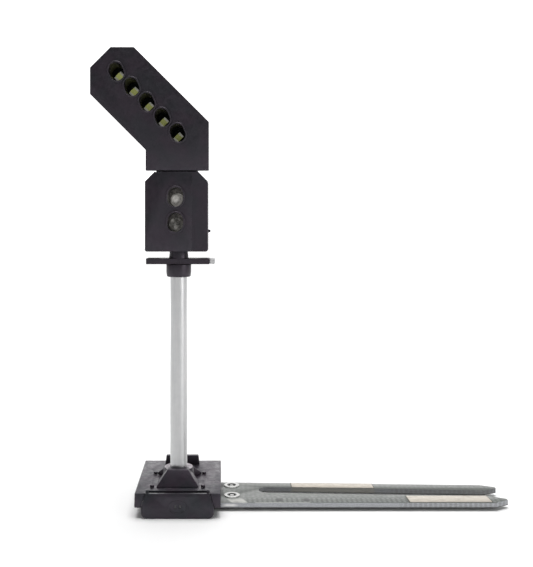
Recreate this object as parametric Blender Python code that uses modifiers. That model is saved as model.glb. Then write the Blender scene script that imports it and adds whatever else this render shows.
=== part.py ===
"""Model railway colour-light signal, 4 mm to the foot, with a left-hand route indicator.

A black base box stands beside the track and holds the electronics. A flat two-pronged
contact board leaves it to the right and slides under the track, one pad under each rail.
An aluminium tube carries a platform, a two-light head and a five-light route indicator.
Frame: origin on the mast's axis on the underside of the base, X along the contact board
towards the track, Y away from the lights' faces, Z up. Dimensions below are millimetres.
"""

import math

import bmesh
import bpy
from mathutils import Matrix, Vector

MM = 0.001
GAP = 0.03  # left between two pieces that touch
SEGMENTS = 28  # sides of a round hole or shaft

# Base: a tub on the layout, and a cover that drops over it and overhangs its sides
BASE_MID_X = 0.16
BASE_FRONT = -6.85
TUB_BACK = 10.2
TUB_TOP = 3.0
TUB_FLOOR = 0.45
TUB_WALL = 0.8
TUB_INNER_HALF = 4.65
TUB_WAIST_HALF = 5.66
TUB_WAIST_Z = 1.75
TUB_CORNER = 0.95  # radius of the tub's lower corners
FACE_TOP_HALF = 5.0
FACE_TOP_Z = 3.9
FACE_BEVEL = 0.15
EAR_SIZE = (0.42, 0.6, 0.38)
COVER_HALF = 6.74
COVER_FRONT = -6.62
COVER_BACK = 11.15
COVER_BOTTOM = 1.65
COVER_TOP = 3.87
COVER_WALL = 0.7
COVER_DRAFT = 0.06
COVER_GROOVE_BACK = -5.2
COVER_GROOVE_FLOOR = 3.4

# Contact board: 16.5 mm gauge track has its rails' middles 18 mm apart
RAIL_SPACING = 18.0
BOARD_BOTTOM = 0.5
BOARD_THICK = 0.8
BOARD_TOP = BOARD_BOTTOM + BOARD_THICK
BOARD_HALF_IN_BASE = 4.5
BOARD_FRONT_IN_BASE = -5.2
BOARD_BACK_IN_BASE = 9.5
FORK_FRONT = -3.35
FORK_BACK = (7.0, 5.5)  # the back edge's Y beside the base and at the tip
FORK_SLOT_BACK = (4.45, 2.75)
FORK_SLOT_FRONT = (1.6, -0.05)
FORK_SLOT_START = 13.2
FORK_TIP_X = 53.2
FORK_POINT = 2.3
FORK_POINT_HALF = 0.3
NEAR_RAIL_X = 25.75
PAD_THICK = 0.06
REAR_PAD = (14.0, (4.05, 6.3), -0.034)  # length, the Y of its edges in the middle, slope
FRONT_PAD = (13.4, (-3.1, -0.1), 0.0)
EYELET_X = 8.7
EYELET_Y = (5.35, 0.35)
EYELET_RADIUS = 1.33
EYELET_GROOVE = (0.34, 0.78)  # the sunk ring round the solder in the middle
EYELET_BARREL = 0.52

# Sensor pair behind the front wall
SENSOR_MID_X = 0.2
SENSOR_MID_Z = 1.85
SENSOR_PITCH = 0.74
SENSOR_NOSE = (0.22, 0.5)
WINDOW_SIZE = (3.0, 2.1)

# Parts on the board inside the base: low corner, high corner, height above the board
BASE_PARTS = {
    "microcontroller": ((-4.0, -4.3), (0.9, -0.7), 1.3),
    "bridge_rectifier": ((1.7, 2.2), (4.3, 5.8), 1.25),
    "smoothing_capacitor": ((-4.0, 2.4), (-0.9, 4.9), 1.2),
    "supply_resistor": ((1.9, -2.9), (3.9, -1.7), 0.5),
}
SENSOR_HALF = 0.3
SENSOR_HEIGHT = 0.8

# Override switch at the back, worked by a block shaped like a lineside relay box
SLIDER_TRAVEL = 1.0
SLIDER_MID_X = 0.16
SLIDER_STEM_Y = 8.9
SLIDER_STEM = (0.9, 0.5)
SLIDER_FRONT = 8.4
SLIDER_BACK = 9.4
SLIDER_HALF = 3.0
SLIDER_TOP_HALF = 2.79
SLIDER_TOP = 5.5

# Mast
TUBE_RADIUS = 1.385
TUBE_BORE = 1.05
TUBE_BOTTOM = COVER_TOP + GAP
TUBE_TOP = 39.0
FOOT_HALF = 3.42
FOOT_TOP_HALF = 1.62
FOOT_DEPTH = 3.85
FOOT_TOP_DEPTH = 2.45
FOOT_INNER_DEPTH = 0.9
FOOT_TOP = 6.37
BOSS_RADIUS = 2.4  # at the top
BOSS_FLARE = 0.3  # how much wider it is at the bottom
BOSS_TOP = 6.15
RIB_START = 1.9  # from the mast's axis, under the boss
RIB_REACH = 4.75
RIB_THICK = 1.25
RIB_ANGLE = 47.0  # from the X axis, seen from above
RIB_END_HEIGHT = 0.35
BOLT_X = 4.06
BOLT_Y = 3.45
BOLT_RADIUS = 0.38
BOLT_HEAD = 0.34
BOLT_SHANK_RADIUS = 0.2
COLLAR_BOTTOM = 37.2
COLLAR_RADIUS = 2.04
COLLAR_LOW_RADIUS = 1.95
NECK_RADIUS = 1.6
NECK_TOP_RADIUS = 1.48
PLATFORM_BOTTOM = 39.3
PLATFORM_TOP = 40.24
PLATFORM_LEFT = -5.23
PLATFORM_RIGHT = 5.04
PLATFORM_Y = (-1.6, 2.6)
PLATFORM_TIP = 0.84

# Main head
HEAD_LEFT = -5.28
HEAD_RIGHT = 4.82
HEAD_BOTTOM = 41.39
HEAD_TOP = 54.18
HEAD_CHAMFER = 1.52
FACE_Y = -3.0
SHELL_BACK = 3.0
COVER_THICK = 0.75
LIGHT_X = -0.4
LIGHT_Z = (50.16, 46.1)
LIGHT_BORE = 1.28
LIGHT_STRETCH = ((0.03, 0.28), (-0.03, -0.28))  # the two ends of each oval
LAMP_RADIUS = 0.92
LAMP_FLANGE = 0.22
LAMP_FLANGE_THICK = 0.4
LAMP_NOSE_Y = 0.35
LAMP_PLACES = ((-0.33, 49.8), (-0.55, 45.75))
NUB = (-0.6, 44.7)  # Y and Z of the pip on the head's right edge
NUB_RADIUS = 0.26
BARREL_BACK = 1.7
BOARD_Y = (2.28, 2.95)
SHELL_WALL = 0.8

# Route indicator: a face plate with a smaller housing behind it, at 45 degrees
FEATHER_BOTTOM = 54.4
FEATHER_TOP = 74.18
FEATHER_LOW_LEFT = -5.17
FEATHER_RIGHT = 4.98
FEATHER_FAR_LEFT = -14.07
FEATHER_SHOULDER_Z = 62.2
FEATHER_ELBOW_Z = 57.7
FEATHER_SIDE_Z = (66.62, 70.9)
FEATHER_CREST_X = (-10.78, -7.02)
PLATE_BACK = -1.7
HOUSING_INSET = 0.62
FIRST_LIGHT = (-9.97, 70.33)
LIGHT_STEP = 2.45
FEATHER_BORE = 1.14
FEATHER_STRETCH = ((0.0, 0.22), (0.26, -0.42))
FEATHER_LIGHTS = 5
CHIP_LED = (1.5, 0.96, 0.5)
CHIP_LED_DROP = 0.08
SPIGOT = (-3.55, 3.15)
SPIGOT_Y = (-1.6, 1.4)
HOOD_WALL = 0.24
HOOD_PROUD = 0.42

# Leads inside the mast: where each runs in the tube
LEAD_RADIUS = 0.14
LEAD_TUBE_Z = (4.2, 22.0, 41.6)
ROUTE_LEAD_UP = (2.3, 1.0)  # past the head's lamp board
LEAD_PLACES = {
    "lead_common": (-0.42, -0.3),
    "lead_red": (0.42, -0.3),
    "lead_green": (0.0, 0.48),
    "lead_route": (0.0, -0.62),
}


# ---------------------------------------------------------------- scene and helpers


def clear_scene():
    for obj in list(bpy.data.objects):
        bpy.data.objects.remove(obj, do_unlink=True)


def new_collection(name):
    collection = bpy.data.collections.new(name)
    bpy.context.scene.collection.children.link(collection)
    return collection


def material(name, colour, roughness, metallic=0.0):
    made = bpy.data.materials.new(name)
    made.use_nodes = True
    shader = made.node_tree.nodes["Principled BSDF"]
    shader.inputs["Base Color"].default_value = (*colour, 1.0)
    shader.inputs["Roughness"].default_value = roughness
    shader.inputs["Metallic"].default_value = metallic
    return made


def move_to(obj, collection):
    for other in list(obj.users_collection):
        other.objects.unlink(obj)
    collection.objects.link(obj)


def mesh_object(name, shape, collection, look=None):
    mesh = bpy.data.meshes.new(name)
    bmesh.ops.recalc_face_normals(shape, faces=shape.faces)
    shape.to_mesh(mesh)
    shape.free()
    return link_new(name, mesh, collection, look)


def link_new(name, mesh, collection, look=None):
    obj = bpy.data.objects.new(name, mesh)
    collection.objects.link(obj)
    if look:
        mesh.materials.append(look)
    return obj


def block(name, low, high, collection, look=None):
    """A box between two corners, in millimetres."""
    shape = bmesh.new()
    bmesh.ops.create_cube(shape, size=1.0)
    size = Vector(high) - Vector(low)
    middle = (Vector(high) + Vector(low)) / 2
    bmesh.ops.scale(shape, vec=size * MM, verts=shape.verts)
    bmesh.ops.translate(shape, vec=middle * MM, verts=shape.verts)
    return mesh_object(name, shape, collection, look)


def tapered_block(name, low, high, top_low, top_high, collection, look=None):
    """A box whose top face is moved to lie between the X and Y of top_low and top_high."""
    obj = block(name, low, high, collection, look)
    for vertex in obj.data.vertices:
        if vertex.co.z > (low[2] + high[2]) / 2 * MM:
            for axis in (0, 1):
                middle = (low[axis] + high[axis]) / 2 * MM
                side = top_high if vertex.co[axis] > middle else top_low
                vertex.co[axis] = side[axis] * MM
    return obj


def rod(name, start, end, radius, collection, look=None, end_radius=None, sides=SEGMENTS):
    """A cylinder, or a cone, from start to end, in millimetres."""
    shape = bmesh.new()
    axis = Vector(end) - Vector(start)
    bmesh.ops.create_cone(
        shape,
        cap_ends=True,
        segments=sides,
        radius1=radius * MM,
        radius2=(radius if end_radius is None else end_radius) * MM,
        depth=axis.length * MM,
    )
    turn = Vector((0, 0, 1)).rotation_difference(axis).to_matrix().to_4x4()
    place = Matrix.Translation((Vector(start) + Vector(end)) / 2 * MM)
    bmesh.ops.transform(shape, matrix=place @ turn, verts=shape.verts)
    return mesh_object(name, shape, collection, look)


def outline_solid(name, points, low, high, plane, collection, look=None):
    """A flat outline made solid between low and high. plane is XY (up Z) or XZ (along Y)."""
    curve = bpy.data.curves.new(name, "CURVE")
    curve.dimensions = "2D"
    curve.fill_mode = "BOTH"
    curve.extrude = (high - low) / 2 * MM
    spline = curve.splines.new("POLY")
    spline.points.add(len(points) - 1)
    for point, (across, along) in zip(spline.points, points):
        point.co = (across * MM, along * MM, 0, 1)
    spline.use_cyclic_u = True
    guide = bpy.data.objects.new(name + "_outline", curve)
    bpy.context.scene.collection.objects.link(guide)
    middle = (low + high) / 2 * MM
    if plane == "XZ":
        guide.rotation_euler = (math.pi / 2, 0, 0)
        guide.location = (0, middle, 0)
    else:
        guide.location = (0, 0, middle)
    bpy.context.view_layer.update()
    evaluated = guide.evaluated_get(bpy.context.evaluated_depsgraph_get())
    mesh = bpy.data.meshes.new_from_object(evaluated)
    mesh.transform(guide.matrix_world)
    bpy.data.objects.remove(guide, do_unlink=True)
    shape = bmesh.new()
    shape.from_mesh(mesh)
    bpy.data.meshes.remove(mesh)
    bmesh.ops.remove_doubles(shape, verts=shape.verts, dist=0.001 * MM)
    return mesh_object(name, shape, collection, look)


def turned(name, profile, collection, look, middle=(0, 0)):
    """A profile of (radius, height) pairs, listed top to bottom on its outside, turned about Z."""
    mesh = bpy.data.meshes.new(name)
    corners = [(radius * MM, 0, height * MM) for radius, height in profile]
    loop = [(i, (i + 1) % len(corners)) for i in range(len(corners))]
    mesh.from_pydata(corners, loop, [])
    obj = link_new(name, mesh, collection, look)
    obj.location = (middle[0] * MM, middle[1] * MM, 0)
    screw = obj.modifiers.new("turn", "SCREW")
    screw.steps = SEGMENTS
    screw.render_steps = SEGMENTS
    screw.use_merge_vertices = True
    screw.merge_threshold = 0.0000005
    return obj


def wire(name, points, radius, collection, look):
    """A round wire along points, in millimetres."""
    curve = bpy.data.curves.new(name, "CURVE")
    curve.dimensions = "3D"
    curve.bevel_depth = radius * MM
    curve.bevel_resolution = 2
    curve.use_fill_caps = True
    spline = curve.splines.new("POLY")
    spline.points.add(len(points) - 1)
    for point, place in zip(spline.points, points):
        point.co = (*(Vector(place) * MM), 1)
    obj = bpy.data.objects.new(name, curve)
    collection.objects.link(obj)
    curve.materials.append(look)
    return obj


def combine(obj, other, operation):
    """Adds a Boolean; the other object joins the cutters."""
    step = obj.modifiers.new(operation.lower(), "BOOLEAN")
    step.operation = operation
    step.solver = "EXACT"
    step.object = other
    other.hide_render = True
    other.display_type = "WIRE"
    if other.name not in cutters.objects:
        move_to(other, cutters)
    return obj


def cut(obj, other):
    return combine(obj, other, "DIFFERENCE")


def join(obj, other):
    return combine(obj, other, "UNION")


def soften(obj, width, segments=2):
    """Rounds the edges; used before any Boolean, so only the plain edges are rounded."""
    bevel = obj.modifiers.new("edges", "BEVEL")
    bevel.width = width * MM
    bevel.segments = segments
    bevel.limit_method = "ANGLE"
    bevel.angle_limit = math.radians(40)
    return obj


def smooth(obj):
    obj.data.shade_smooth()
    obj.data.set_sharp_from_angle(angle=math.radians(35))
    return obj


def arc(middle, radius, start, end, steps=6):
    """Points on a circle, from one angle to another in degrees."""
    turns = [math.radians(start + (end - start) * i / steps) for i in range(steps + 1)]
    return [(middle[0] + radius * math.cos(t), middle[1] + radius * math.sin(t)) for t in turns]


def inset(points, width):
    """The outline moved inwards by width; points run anticlockwise."""
    moved = []
    for i, corner in enumerate(points):
        corner = Vector(corner)
        before = (corner - Vector(points[i - 1])).normalized()
        after = (Vector(points[(i + 1) % len(points)]) - corner).normalized()
        inward = (Vector((-before.y, before.x)) + Vector((-after.y, after.x))).normalized()
        reach = width / inward.dot(Vector((-after.y, after.x)))
        moved.append(tuple(corner + inward * reach))
    return moved


# ---------------------------------------------------------------- base


def half_width_at(height):
    share = (height - TUB_WAIST_Z) / (FACE_TOP_Z - TUB_WAIST_Z)
    return TUB_WAIST_HALF + (FACE_TOP_HALF - TUB_WAIST_HALF) * share


def tub_section(top=FACE_TOP_Z, grow=0.0):
    """Round lower corners, widest at the waist, narrower again at the top."""
    corner = (TUB_WAIST_HALF - TUB_CORNER, TUB_CORNER)
    right = arc(corner, TUB_CORNER + grow, -80, -10, 4)
    right += [(TUB_WAIST_HALF + grow, TUB_WAIST_Z), (half_width_at(top) + grow, top)]
    left = [(-across, along) for across, along in reversed(right)]
    return [(BASE_MID_X + across, along) for across, along in right + left]


def window_outline(grow=0.0):
    half_width = WINDOW_SIZE[0] / 2 + grow
    half_height = WINDOW_SIZE[1] / 2 + grow
    places = [math.radians(360 * i / 24) for i in range(24)]
    return [
        (SENSOR_MID_X + half_width * math.cos(t), SENSOR_MID_Z + half_height * math.sin(t))
        for t in places
    ]


def base_tub():
    tub = outline_solid("base_tub", tub_section(), BASE_FRONT, TUB_BACK, "XZ", parts, black)
    face_back = BASE_FRONT + TUB_WALL
    above_body = block(
        "tub_above_body",
        (BASE_MID_X - TUB_WAIST_HALF - 1, face_back, TUB_TOP),
        (BASE_MID_X + TUB_WAIST_HALF + 1, TUB_BACK + 1, FACE_TOP_Z + 1),
        cutters,
    )
    cut(tub, above_body)
    hollow = block(
        "tub_hollow",
        (BASE_MID_X - TUB_INNER_HALF, face_back, TUB_FLOOR),
        (BASE_MID_X + TUB_INNER_HALF, TUB_BACK - 0.6, TUB_TOP + 2),
        cutters,
    )
    cut(tub, hollow)
    board_notch = block(
        "tub_board_notch",
        (BASE_MID_X + TUB_INNER_HALF - 0.5, FORK_FRONT - GAP, TUB_FLOOR),
        (BASE_MID_X + TUB_WAIST_HALF + 1, FORK_BACK[0] + GAP, TUB_TOP + 2),
        cutters,
    )
    cut(tub, board_notch)
    window = outline_solid(
        "tub_window_hole",
        window_outline(),
        BASE_FRONT - 1,
        face_back + 0.5,
        "XZ",
        cutters,
    )
    cut(tub, window)
    bevel = block(
        "tub_face_bevel",
        (BASE_MID_X - TUB_WAIST_HALF - 1, -FACE_BEVEL, -FACE_BEVEL),
        (BASE_MID_X + TUB_WAIST_HALF + 1, FACE_BEVEL, FACE_BEVEL),
        cutters,
    )
    bevel.rotation_euler = (math.radians(45), 0, 0)
    bevel.location = (0, (BASE_FRONT - 0.1) * MM, (FACE_TOP_Z + 0.1) * MM)
    cut(tub, bevel)
    for side in (-1, 1):
        middle = BASE_MID_X + side * (FACE_TOP_HALF - EAR_SIZE[0] / 2 - 0.02)
        ear = block(
            "tub_ear",
            (middle - EAR_SIZE[0] / 2, face_back - EAR_SIZE[1] / 2, COVER_GROOVE_FLOOR + 2 * GAP),
            (middle + EAR_SIZE[0] / 2, face_back + EAR_SIZE[1] / 2, FACE_TOP_Z + EAR_SIZE[2]),
            cutters,
        )
        join(tub, ear)
    return tub


def base_cover():
    cover = tapered_block(
        "base_cover",
        (BASE_MID_X - COVER_HALF, COVER_FRONT, COVER_BOTTOM),
        (BASE_MID_X + COVER_HALF, COVER_BACK, COVER_TOP),
        (BASE_MID_X - COVER_HALF + COVER_DRAFT, COVER_FRONT + COVER_DRAFT / 2),
        (BASE_MID_X + COVER_HALF - COVER_DRAFT, COVER_BACK - COVER_DRAFT / 2),
        parts,
        black,
    )
    soften(cover, 0.08)
    inner_half = COVER_HALF - COVER_WALL
    hollow = block(
        "cover_hollow",
        (BASE_MID_X - inner_half, COVER_FRONT + COVER_WALL, COVER_BOTTOM - 1),
        (BASE_MID_X + inner_half, COVER_BACK - COVER_WALL, TUB_TOP + GAP),
        cutters,
    )
    cut(cover, hollow)
    face_notch = outline_solid(
        "cover_face_notch",
        tub_section(FACE_TOP_Z + 1, GAP),
        BASE_FRONT - 1,
        BASE_FRONT + TUB_WALL + GAP,
        "XZ",
        cutters,
    )
    cut(cover, face_notch)
    wall_notch = outline_solid(
        "cover_wall_notch",
        tub_section(TUB_TOP + 2 * GAP, GAP),
        BASE_FRONT,
        COVER_FRONT + COVER_WALL + 0.2,
        "XZ",
        cutters,
    )
    cut(cover, wall_notch)
    groove = block(
        "cover_groove",
        (BASE_MID_X - FACE_TOP_HALF, BASE_FRONT, COVER_GROOVE_FLOOR),
        (BASE_MID_X + FACE_TOP_HALF, COVER_GROOVE_BACK, FACE_TOP_Z + 1),
        cutters,
    )
    cut(cover, groove)
    cut(cover, rod("cover_lead_hole", (0, 0, 2), (0, 0, 5), TUBE_BORE, cutters))
    half = SLIDER_STEM[0] / 2 + SLIDER_TRAVEL + 0.1
    stem_slot = block(
        "cover_stem_slot",
        (SLIDER_MID_X - half, SLIDER_STEM_Y - SLIDER_STEM[1] / 2 - 0.06, 2),
        (SLIDER_MID_X + half, SLIDER_STEM_Y + SLIDER_STEM[1] / 2 + 0.06, 5),
        cutters,
    )
    cut(cover, stem_slot)
    for x, y in bolt_places():
        radius = BOLT_SHANK_RADIUS + GAP
        cut(cover, rod("cover_bolt_hole", (x, y, 2), (x, y, 5), radius, cutters, sides=12))
    return cover


def bolt_places():
    return [(x, y) for y in (-BOLT_Y, BOLT_Y) for x in (-BOLT_X, BOLT_X)]


def foot_bolts():
    for number, (x, y) in enumerate(bolt_places(), 1):
        bottom = TUB_TOP + 2 * GAP
        head = COVER_TOP + GAP
        bolt = rod(
            f"foot_bolt_{number}",
            (x, y, head),
            (x, y, head + BOLT_HEAD),
            BOLT_RADIUS,
            parts,
            black,
            end_radius=BOLT_RADIUS * 0.86,
            sides=6,
        )
        low = (x, y, bottom)
        join(bolt, rod("bolt_shank", low, (x, y, head + 0.1), BOLT_SHANK_RADIUS, cutters, sides=10))


def board_outline():
    """The whole board from above, anticlockwise, starting at the front left inside the base."""
    front_mid = (FORK_FRONT + FORK_SLOT_FRONT[1]) / 2
    back_mid = (FORK_BACK[1] + FORK_SLOT_BACK[1]) / 2
    slot_half = (FORK_SLOT_BACK[0] - FORK_SLOT_FRONT[0]) / 2
    slot_mid = (FORK_SLOT_START + slot_half, FORK_SLOT_FRONT[0] + slot_half)
    left = BASE_MID_X - BOARD_HALF_IN_BASE
    right = BASE_MID_X + BOARD_HALF_IN_BASE
    shoulder = FORK_TIP_X - FORK_POINT
    outline = [(left, BOARD_FRONT_IN_BASE), (right, BOARD_FRONT_IN_BASE), (right, FORK_FRONT)]
    outline += [(shoulder, FORK_FRONT), (FORK_TIP_X, front_mid - FORK_POINT_HALF)]
    outline += [(FORK_TIP_X, front_mid + FORK_POINT_HALF), (shoulder, FORK_SLOT_FRONT[1])]
    outline += arc(slot_mid, slot_half, 270, 90, 10)
    outline += [(shoulder, FORK_SLOT_BACK[1]), (FORK_TIP_X, back_mid - FORK_POINT_HALF)]
    outline += [(FORK_TIP_X, back_mid + FORK_POINT_HALF), (shoulder, FORK_BACK[1])]
    outline += [(right, FORK_BACK[0]), (right, BOARD_BACK_IN_BASE), (left, BOARD_BACK_IN_BASE)]
    return outline


def contact_fork():
    fork = outline_solid("contact_fork", board_outline(), BOARD_BOTTOM, BOARD_TOP, "XY", parts, laminate)
    for y in EYELET_Y:
        low = (EYELET_X, y, BOARD_BOTTOM - 1)
        high = (EYELET_X, y, BOARD_TOP + 1)
        cut(fork, rod("fork_eyelet_hole", low, high, EYELET_BARREL + GAP, cutters, sides=20))
    return fork


def rail_pads():
    """The bare pads lie on the board, one under each rail; the rear one follows its prong."""
    low = BOARD_TOP + GAP / 2
    pads = (("rail_pad_rear", 0, REAR_PAD), ("rail_pad_front", 1, FRONT_PAD))
    for name, rail, (length, (front, back), slope) in pads:
        middle = NEAR_RAIL_X + RAIL_SPACING * rail
        half = length / 2
        outline = [
            (middle - half, front - slope * half),
            (middle + half, front + slope * half),
            (middle + half, back + slope * half),
            (middle - half, back - slope * half),
        ]
        outline_solid(name, outline, low, low + PAD_THICK, "XY", parts, gold)


def eyelets():
    """Plated eyelets filled with solder: a flange on the board and a barrel through it."""
    top = BOARD_TOP + GAP / 2
    inner, outer = EYELET_GROOVE
    for name, y in zip(("solder_eyelet_rear", "solder_eyelet_front"), EYELET_Y):
        profile = [
            (0.0, top + 0.06),
            (inner, top + 0.03),
            (inner + 0.05, top - 0.15),
            (EYELET_BARREL - 0.05, top - 0.15),
            (EYELET_BARREL + 0.02, top + 0.04),
            (outer, top + 0.08),
            (EYELET_RADIUS - 0.06, top + 0.1),
            (EYELET_RADIUS, top + 0.05),
            (EYELET_RADIUS, top),
            (EYELET_BARREL, top),
            (EYELET_BARREL, BOARD_BOTTOM + GAP),
            (0.0, BOARD_BOTTOM + GAP),
        ]
        smooth(turned(name, profile, parts, tin, (EYELET_X, y)))


def base_electronics():
    top = BOARD_TOP + GAP
    for name, (low, high, height) in BASE_PARTS.items():
        look = ceramic if name == "smoothing_capacitor" else chip_black
        block(name, (*low, top), (*high, top + height), parts, look)
    for side, name in ((-1, "infrared_emitter"), (1, "infrared_detector")):
        middle = SENSOR_MID_X + side * SENSOR_PITCH / 2
        sensor = block(
            name,
            (middle - SENSOR_HALF, BASE_FRONT + TUB_WALL + 2 * GAP, top),
            (middle + SENSOR_HALF, BOARD_FRONT_IN_BASE + 0.55, top + SENSOR_HEIGHT),
            parts,
            clear,
        )
        nose = block(
            "sensor_nose",
            (middle - SENSOR_NOSE[0] / 2, BASE_FRONT + 0.12, SENSOR_MID_Z - SENSOR_NOSE[1] / 2),
            (middle + SENSOR_NOSE[0] / 2, BASE_FRONT + TUB_WALL + 0.3, SENSOR_MID_Z + SENSOR_NOSE[1] / 2),
            cutters,
        )
        join(sensor, nose)


def sensor_bezel():
    """Fills the oval in the front wall, with a slot for each sensor's nose."""
    bezel = outline_solid(
        "sensor_bezel",
        window_outline(-GAP),
        BASE_FRONT + 0.1,
        BASE_FRONT + 0.55,
        "XZ",
        parts,
        chip_black,
    )
    for side in (-1, 1):
        middle = SENSOR_MID_X + side * SENSOR_PITCH / 2
        across = SENSOR_NOSE[0] / 2 + GAP
        along = SENSOR_NOSE[1] / 2 + GAP
        slot = block(
            "bezel_slot",
            (middle - across, BASE_FRONT - 1, SENSOR_MID_Z - along),
            (middle + across, BASE_FRONT + 2, SENSOR_MID_Z + along),
            cutters,
        )
        cut(bezel, slot)
    return bezel


def override_switch():
    half = SLIDER_STEM[0] / 2 + SLIDER_TRAVEL + 0.12
    body = block(
        "slide_switch_body",
        (SLIDER_MID_X - half - 0.5, SLIDER_STEM_Y - 0.75, BOARD_TOP + GAP),
        (SLIDER_MID_X + half + 0.5, SLIDER_STEM_Y + 0.55, TUB_TOP - 0.06),
        parts,
        tin,
    )
    channel = block(
        "switch_channel",
        (SLIDER_MID_X - half, SLIDER_STEM_Y - SLIDER_STEM[1] / 2 - 0.06, BOARD_TOP + 0.4),
        (SLIDER_MID_X + half, SLIDER_STEM_Y + SLIDER_STEM[1] / 2 + 0.06, TUB_TOP + 1),
        cutters,
    )
    cut(body, channel)


def override_slider():
    bottom = COVER_TOP + 2 * GAP
    slider = tapered_block(
        "override_slider",
        (-SLIDER_HALF, SLIDER_FRONT, bottom),
        (SLIDER_HALF, SLIDER_BACK, SLIDER_TOP),
        (-SLIDER_TOP_HALF, SLIDER_FRONT + 0.1),
        (SLIDER_TOP_HALF, SLIDER_BACK - 0.1),
        parts,
        black,
    )
    soften(slider, 0.1)
    stem = block(
        "slider_stem",
        (-SLIDER_STEM[0] / 2, SLIDER_STEM_Y - SLIDER_STEM[1] / 2, BOARD_TOP + 0.5),
        (SLIDER_STEM[0] / 2, SLIDER_STEM_Y + SLIDER_STEM[1] / 2, bottom + 0.5),
        cutters,
    )
    stem.location = (SLIDER_MID_X * MM, 0, 0)
    join(slider, stem)
    slider.location = (SLIDER_MID_X * MM, 0, 0)
    return slider


# ---------------------------------------------------------------- mast


def foot_rib(angle):
    """A rib from the boss out along angle, its top falling away towards its end."""
    bottom = COVER_TOP + GAP
    top = BOSS_TOP - 0.1
    side = [(RIB_START, bottom), (RIB_REACH, bottom), (RIB_REACH, bottom + RIB_END_HEIGHT)]
    side += [(BOSS_RADIUS - 0.3, top), (RIB_START, top)]
    rib = outline_solid("foot_rib", side, -RIB_THICK / 2, RIB_THICK / 2, "XZ", cutters)
    rib.rotation_euler = (0, 0, math.radians(angle))
    return rib


def mast_foot():
    """A round boss, leaned on by a broad buttress in front and by two ribs behind."""
    bottom = COVER_TOP + GAP
    wide = BOSS_RADIUS + BOSS_FLARE
    foot = rod("mast_foot", (0, 0, bottom), (0, 0, BOSS_TOP), wide, parts, black, BOSS_RADIUS)
    buttress = tapered_block(
        "foot_buttress",
        (-FOOT_HALF, -FOOT_DEPTH, bottom),
        (FOOT_HALF, -FOOT_INNER_DEPTH, FOOT_TOP),
        (-FOOT_TOP_HALF, -FOOT_TOP_DEPTH),
        (FOOT_TOP_HALF, -FOOT_INNER_DEPTH),
        cutters,
    )
    soften(buttress, 0.1)
    join(foot, buttress)
    for angle in (RIB_ANGLE, 180 - RIB_ANGLE):
        join(foot, foot_rib(angle))
    bore_rod = rod("foot_bore", (0, 0, 3), (0, 0, 8), TUBE_RADIUS + GAP, cutters)
    cut(foot, bore_rod)
    return foot


def mast_tube():
    profile = [
        (TUBE_RADIUS, TUBE_TOP),
        (TUBE_RADIUS, TUBE_BOTTOM),
        (TUBE_BORE, TUBE_BOTTOM),
        (TUBE_BORE, TUBE_TOP),
    ]
    return smooth(turned("mast_tube", profile, parts, aluminium))


def mast_collar():
    """Socket for the tube's end, a shoulder for the platform, and the neck that holds the head."""
    neck_top = HEAD_BOTTOM - GAP
    profile = [
        (NECK_TOP_RADIUS, neck_top),
        (NECK_RADIUS, PLATFORM_TOP + 0.05),
        (NECK_RADIUS, PLATFORM_BOTTOM - GAP),
        (COLLAR_RADIUS, PLATFORM_BOTTOM - GAP),
        (COLLAR_RADIUS, COLLAR_BOTTOM + 0.6),
        (COLLAR_LOW_RADIUS, COLLAR_BOTTOM + 0.15),
        (COLLAR_LOW_RADIUS - 0.15, COLLAR_BOTTOM),
        (TUBE_RADIUS + GAP, COLLAR_BOTTOM),
        (TUBE_RADIUS + GAP, TUBE_TOP + GAP),
        (0.9, TUBE_TOP + GAP),
        (0.9, neck_top),
    ]
    return smooth(turned("mast_collar", profile, parts, black))


def platform():
    deck = block(
        "platform",
        (PLATFORM_LEFT, PLATFORM_Y[0], PLATFORM_BOTTOM),
        (PLATFORM_RIGHT, PLATFORM_Y[1], PLATFORM_TOP),
        parts,
        black,
    )
    soften(deck, 0.06, 1)
    cut(deck, rod("platform_hole", (0, 0, 38), (0, 0, 42), NECK_RADIUS + GAP, cutters))
    tip = block(
        "platform_end_tip",
        (PLATFORM_RIGHT + GAP, PLATFORM_Y[0] + 0.05, PLATFORM_BOTTOM + 0.02),
        (PLATFORM_RIGHT + GAP + PLATFORM_TIP, PLATFORM_Y[1] - 0.05, PLATFORM_TOP - 0.02),
        parts,
        pale_grey,
    )
    soften(tip, 0.1, 1)


# ---------------------------------------------------------------- heads


def oval(middle, stretch, radius, steps=12):
    """A slot-like oval: half a circle round each end of the stretch, upper end first."""
    x, z = middle
    (upper_x, upper_z), (lower_x, lower_z) = stretch
    tilt = math.degrees(math.atan2(upper_z - lower_z, upper_x - lower_x)) - 90
    upper = arc((x + upper_x, z + upper_z), radius, tilt, tilt + 180, steps)
    lower = arc((x + lower_x, z + lower_z), radius, tilt + 180, tilt + 360, steps)
    return upper + lower


def hood(shell, middle, stretch, radius):
    """A rim round a light, standing proud at the upper right and flush at the lower left."""
    x, z = middle
    outline = oval(middle, stretch, radius + HOOD_WALL)
    rim = outline_solid("hood_rim", outline, FACE_Y - HOOD_PROUD, FACE_Y + 0.4, "XZ", cutters)
    reach = (radius + HOOD_WALL + math.hypot(*stretch[0])) * math.sqrt(2)
    for vertex in rim.data.vertices:
        if vertex.co.y < FACE_Y * MM:
            share = ((vertex.co.x / MM - x) + (vertex.co.z / MM - z)) / reach
            proud = HOOD_PROUD * min(1.0, max(0.0, (share + 1) / 2)) + 0.02
            vertex.co.y = (FACE_Y - proud) * MM
    join(shell, rim)


def bore(shell, middle, stretch, radius):
    outline = oval(middle, stretch, radius)
    cut(shell, outline_solid("light_bore", outline, FACE_Y - 1, SHELL_BACK + 1, "XZ", cutters))


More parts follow.
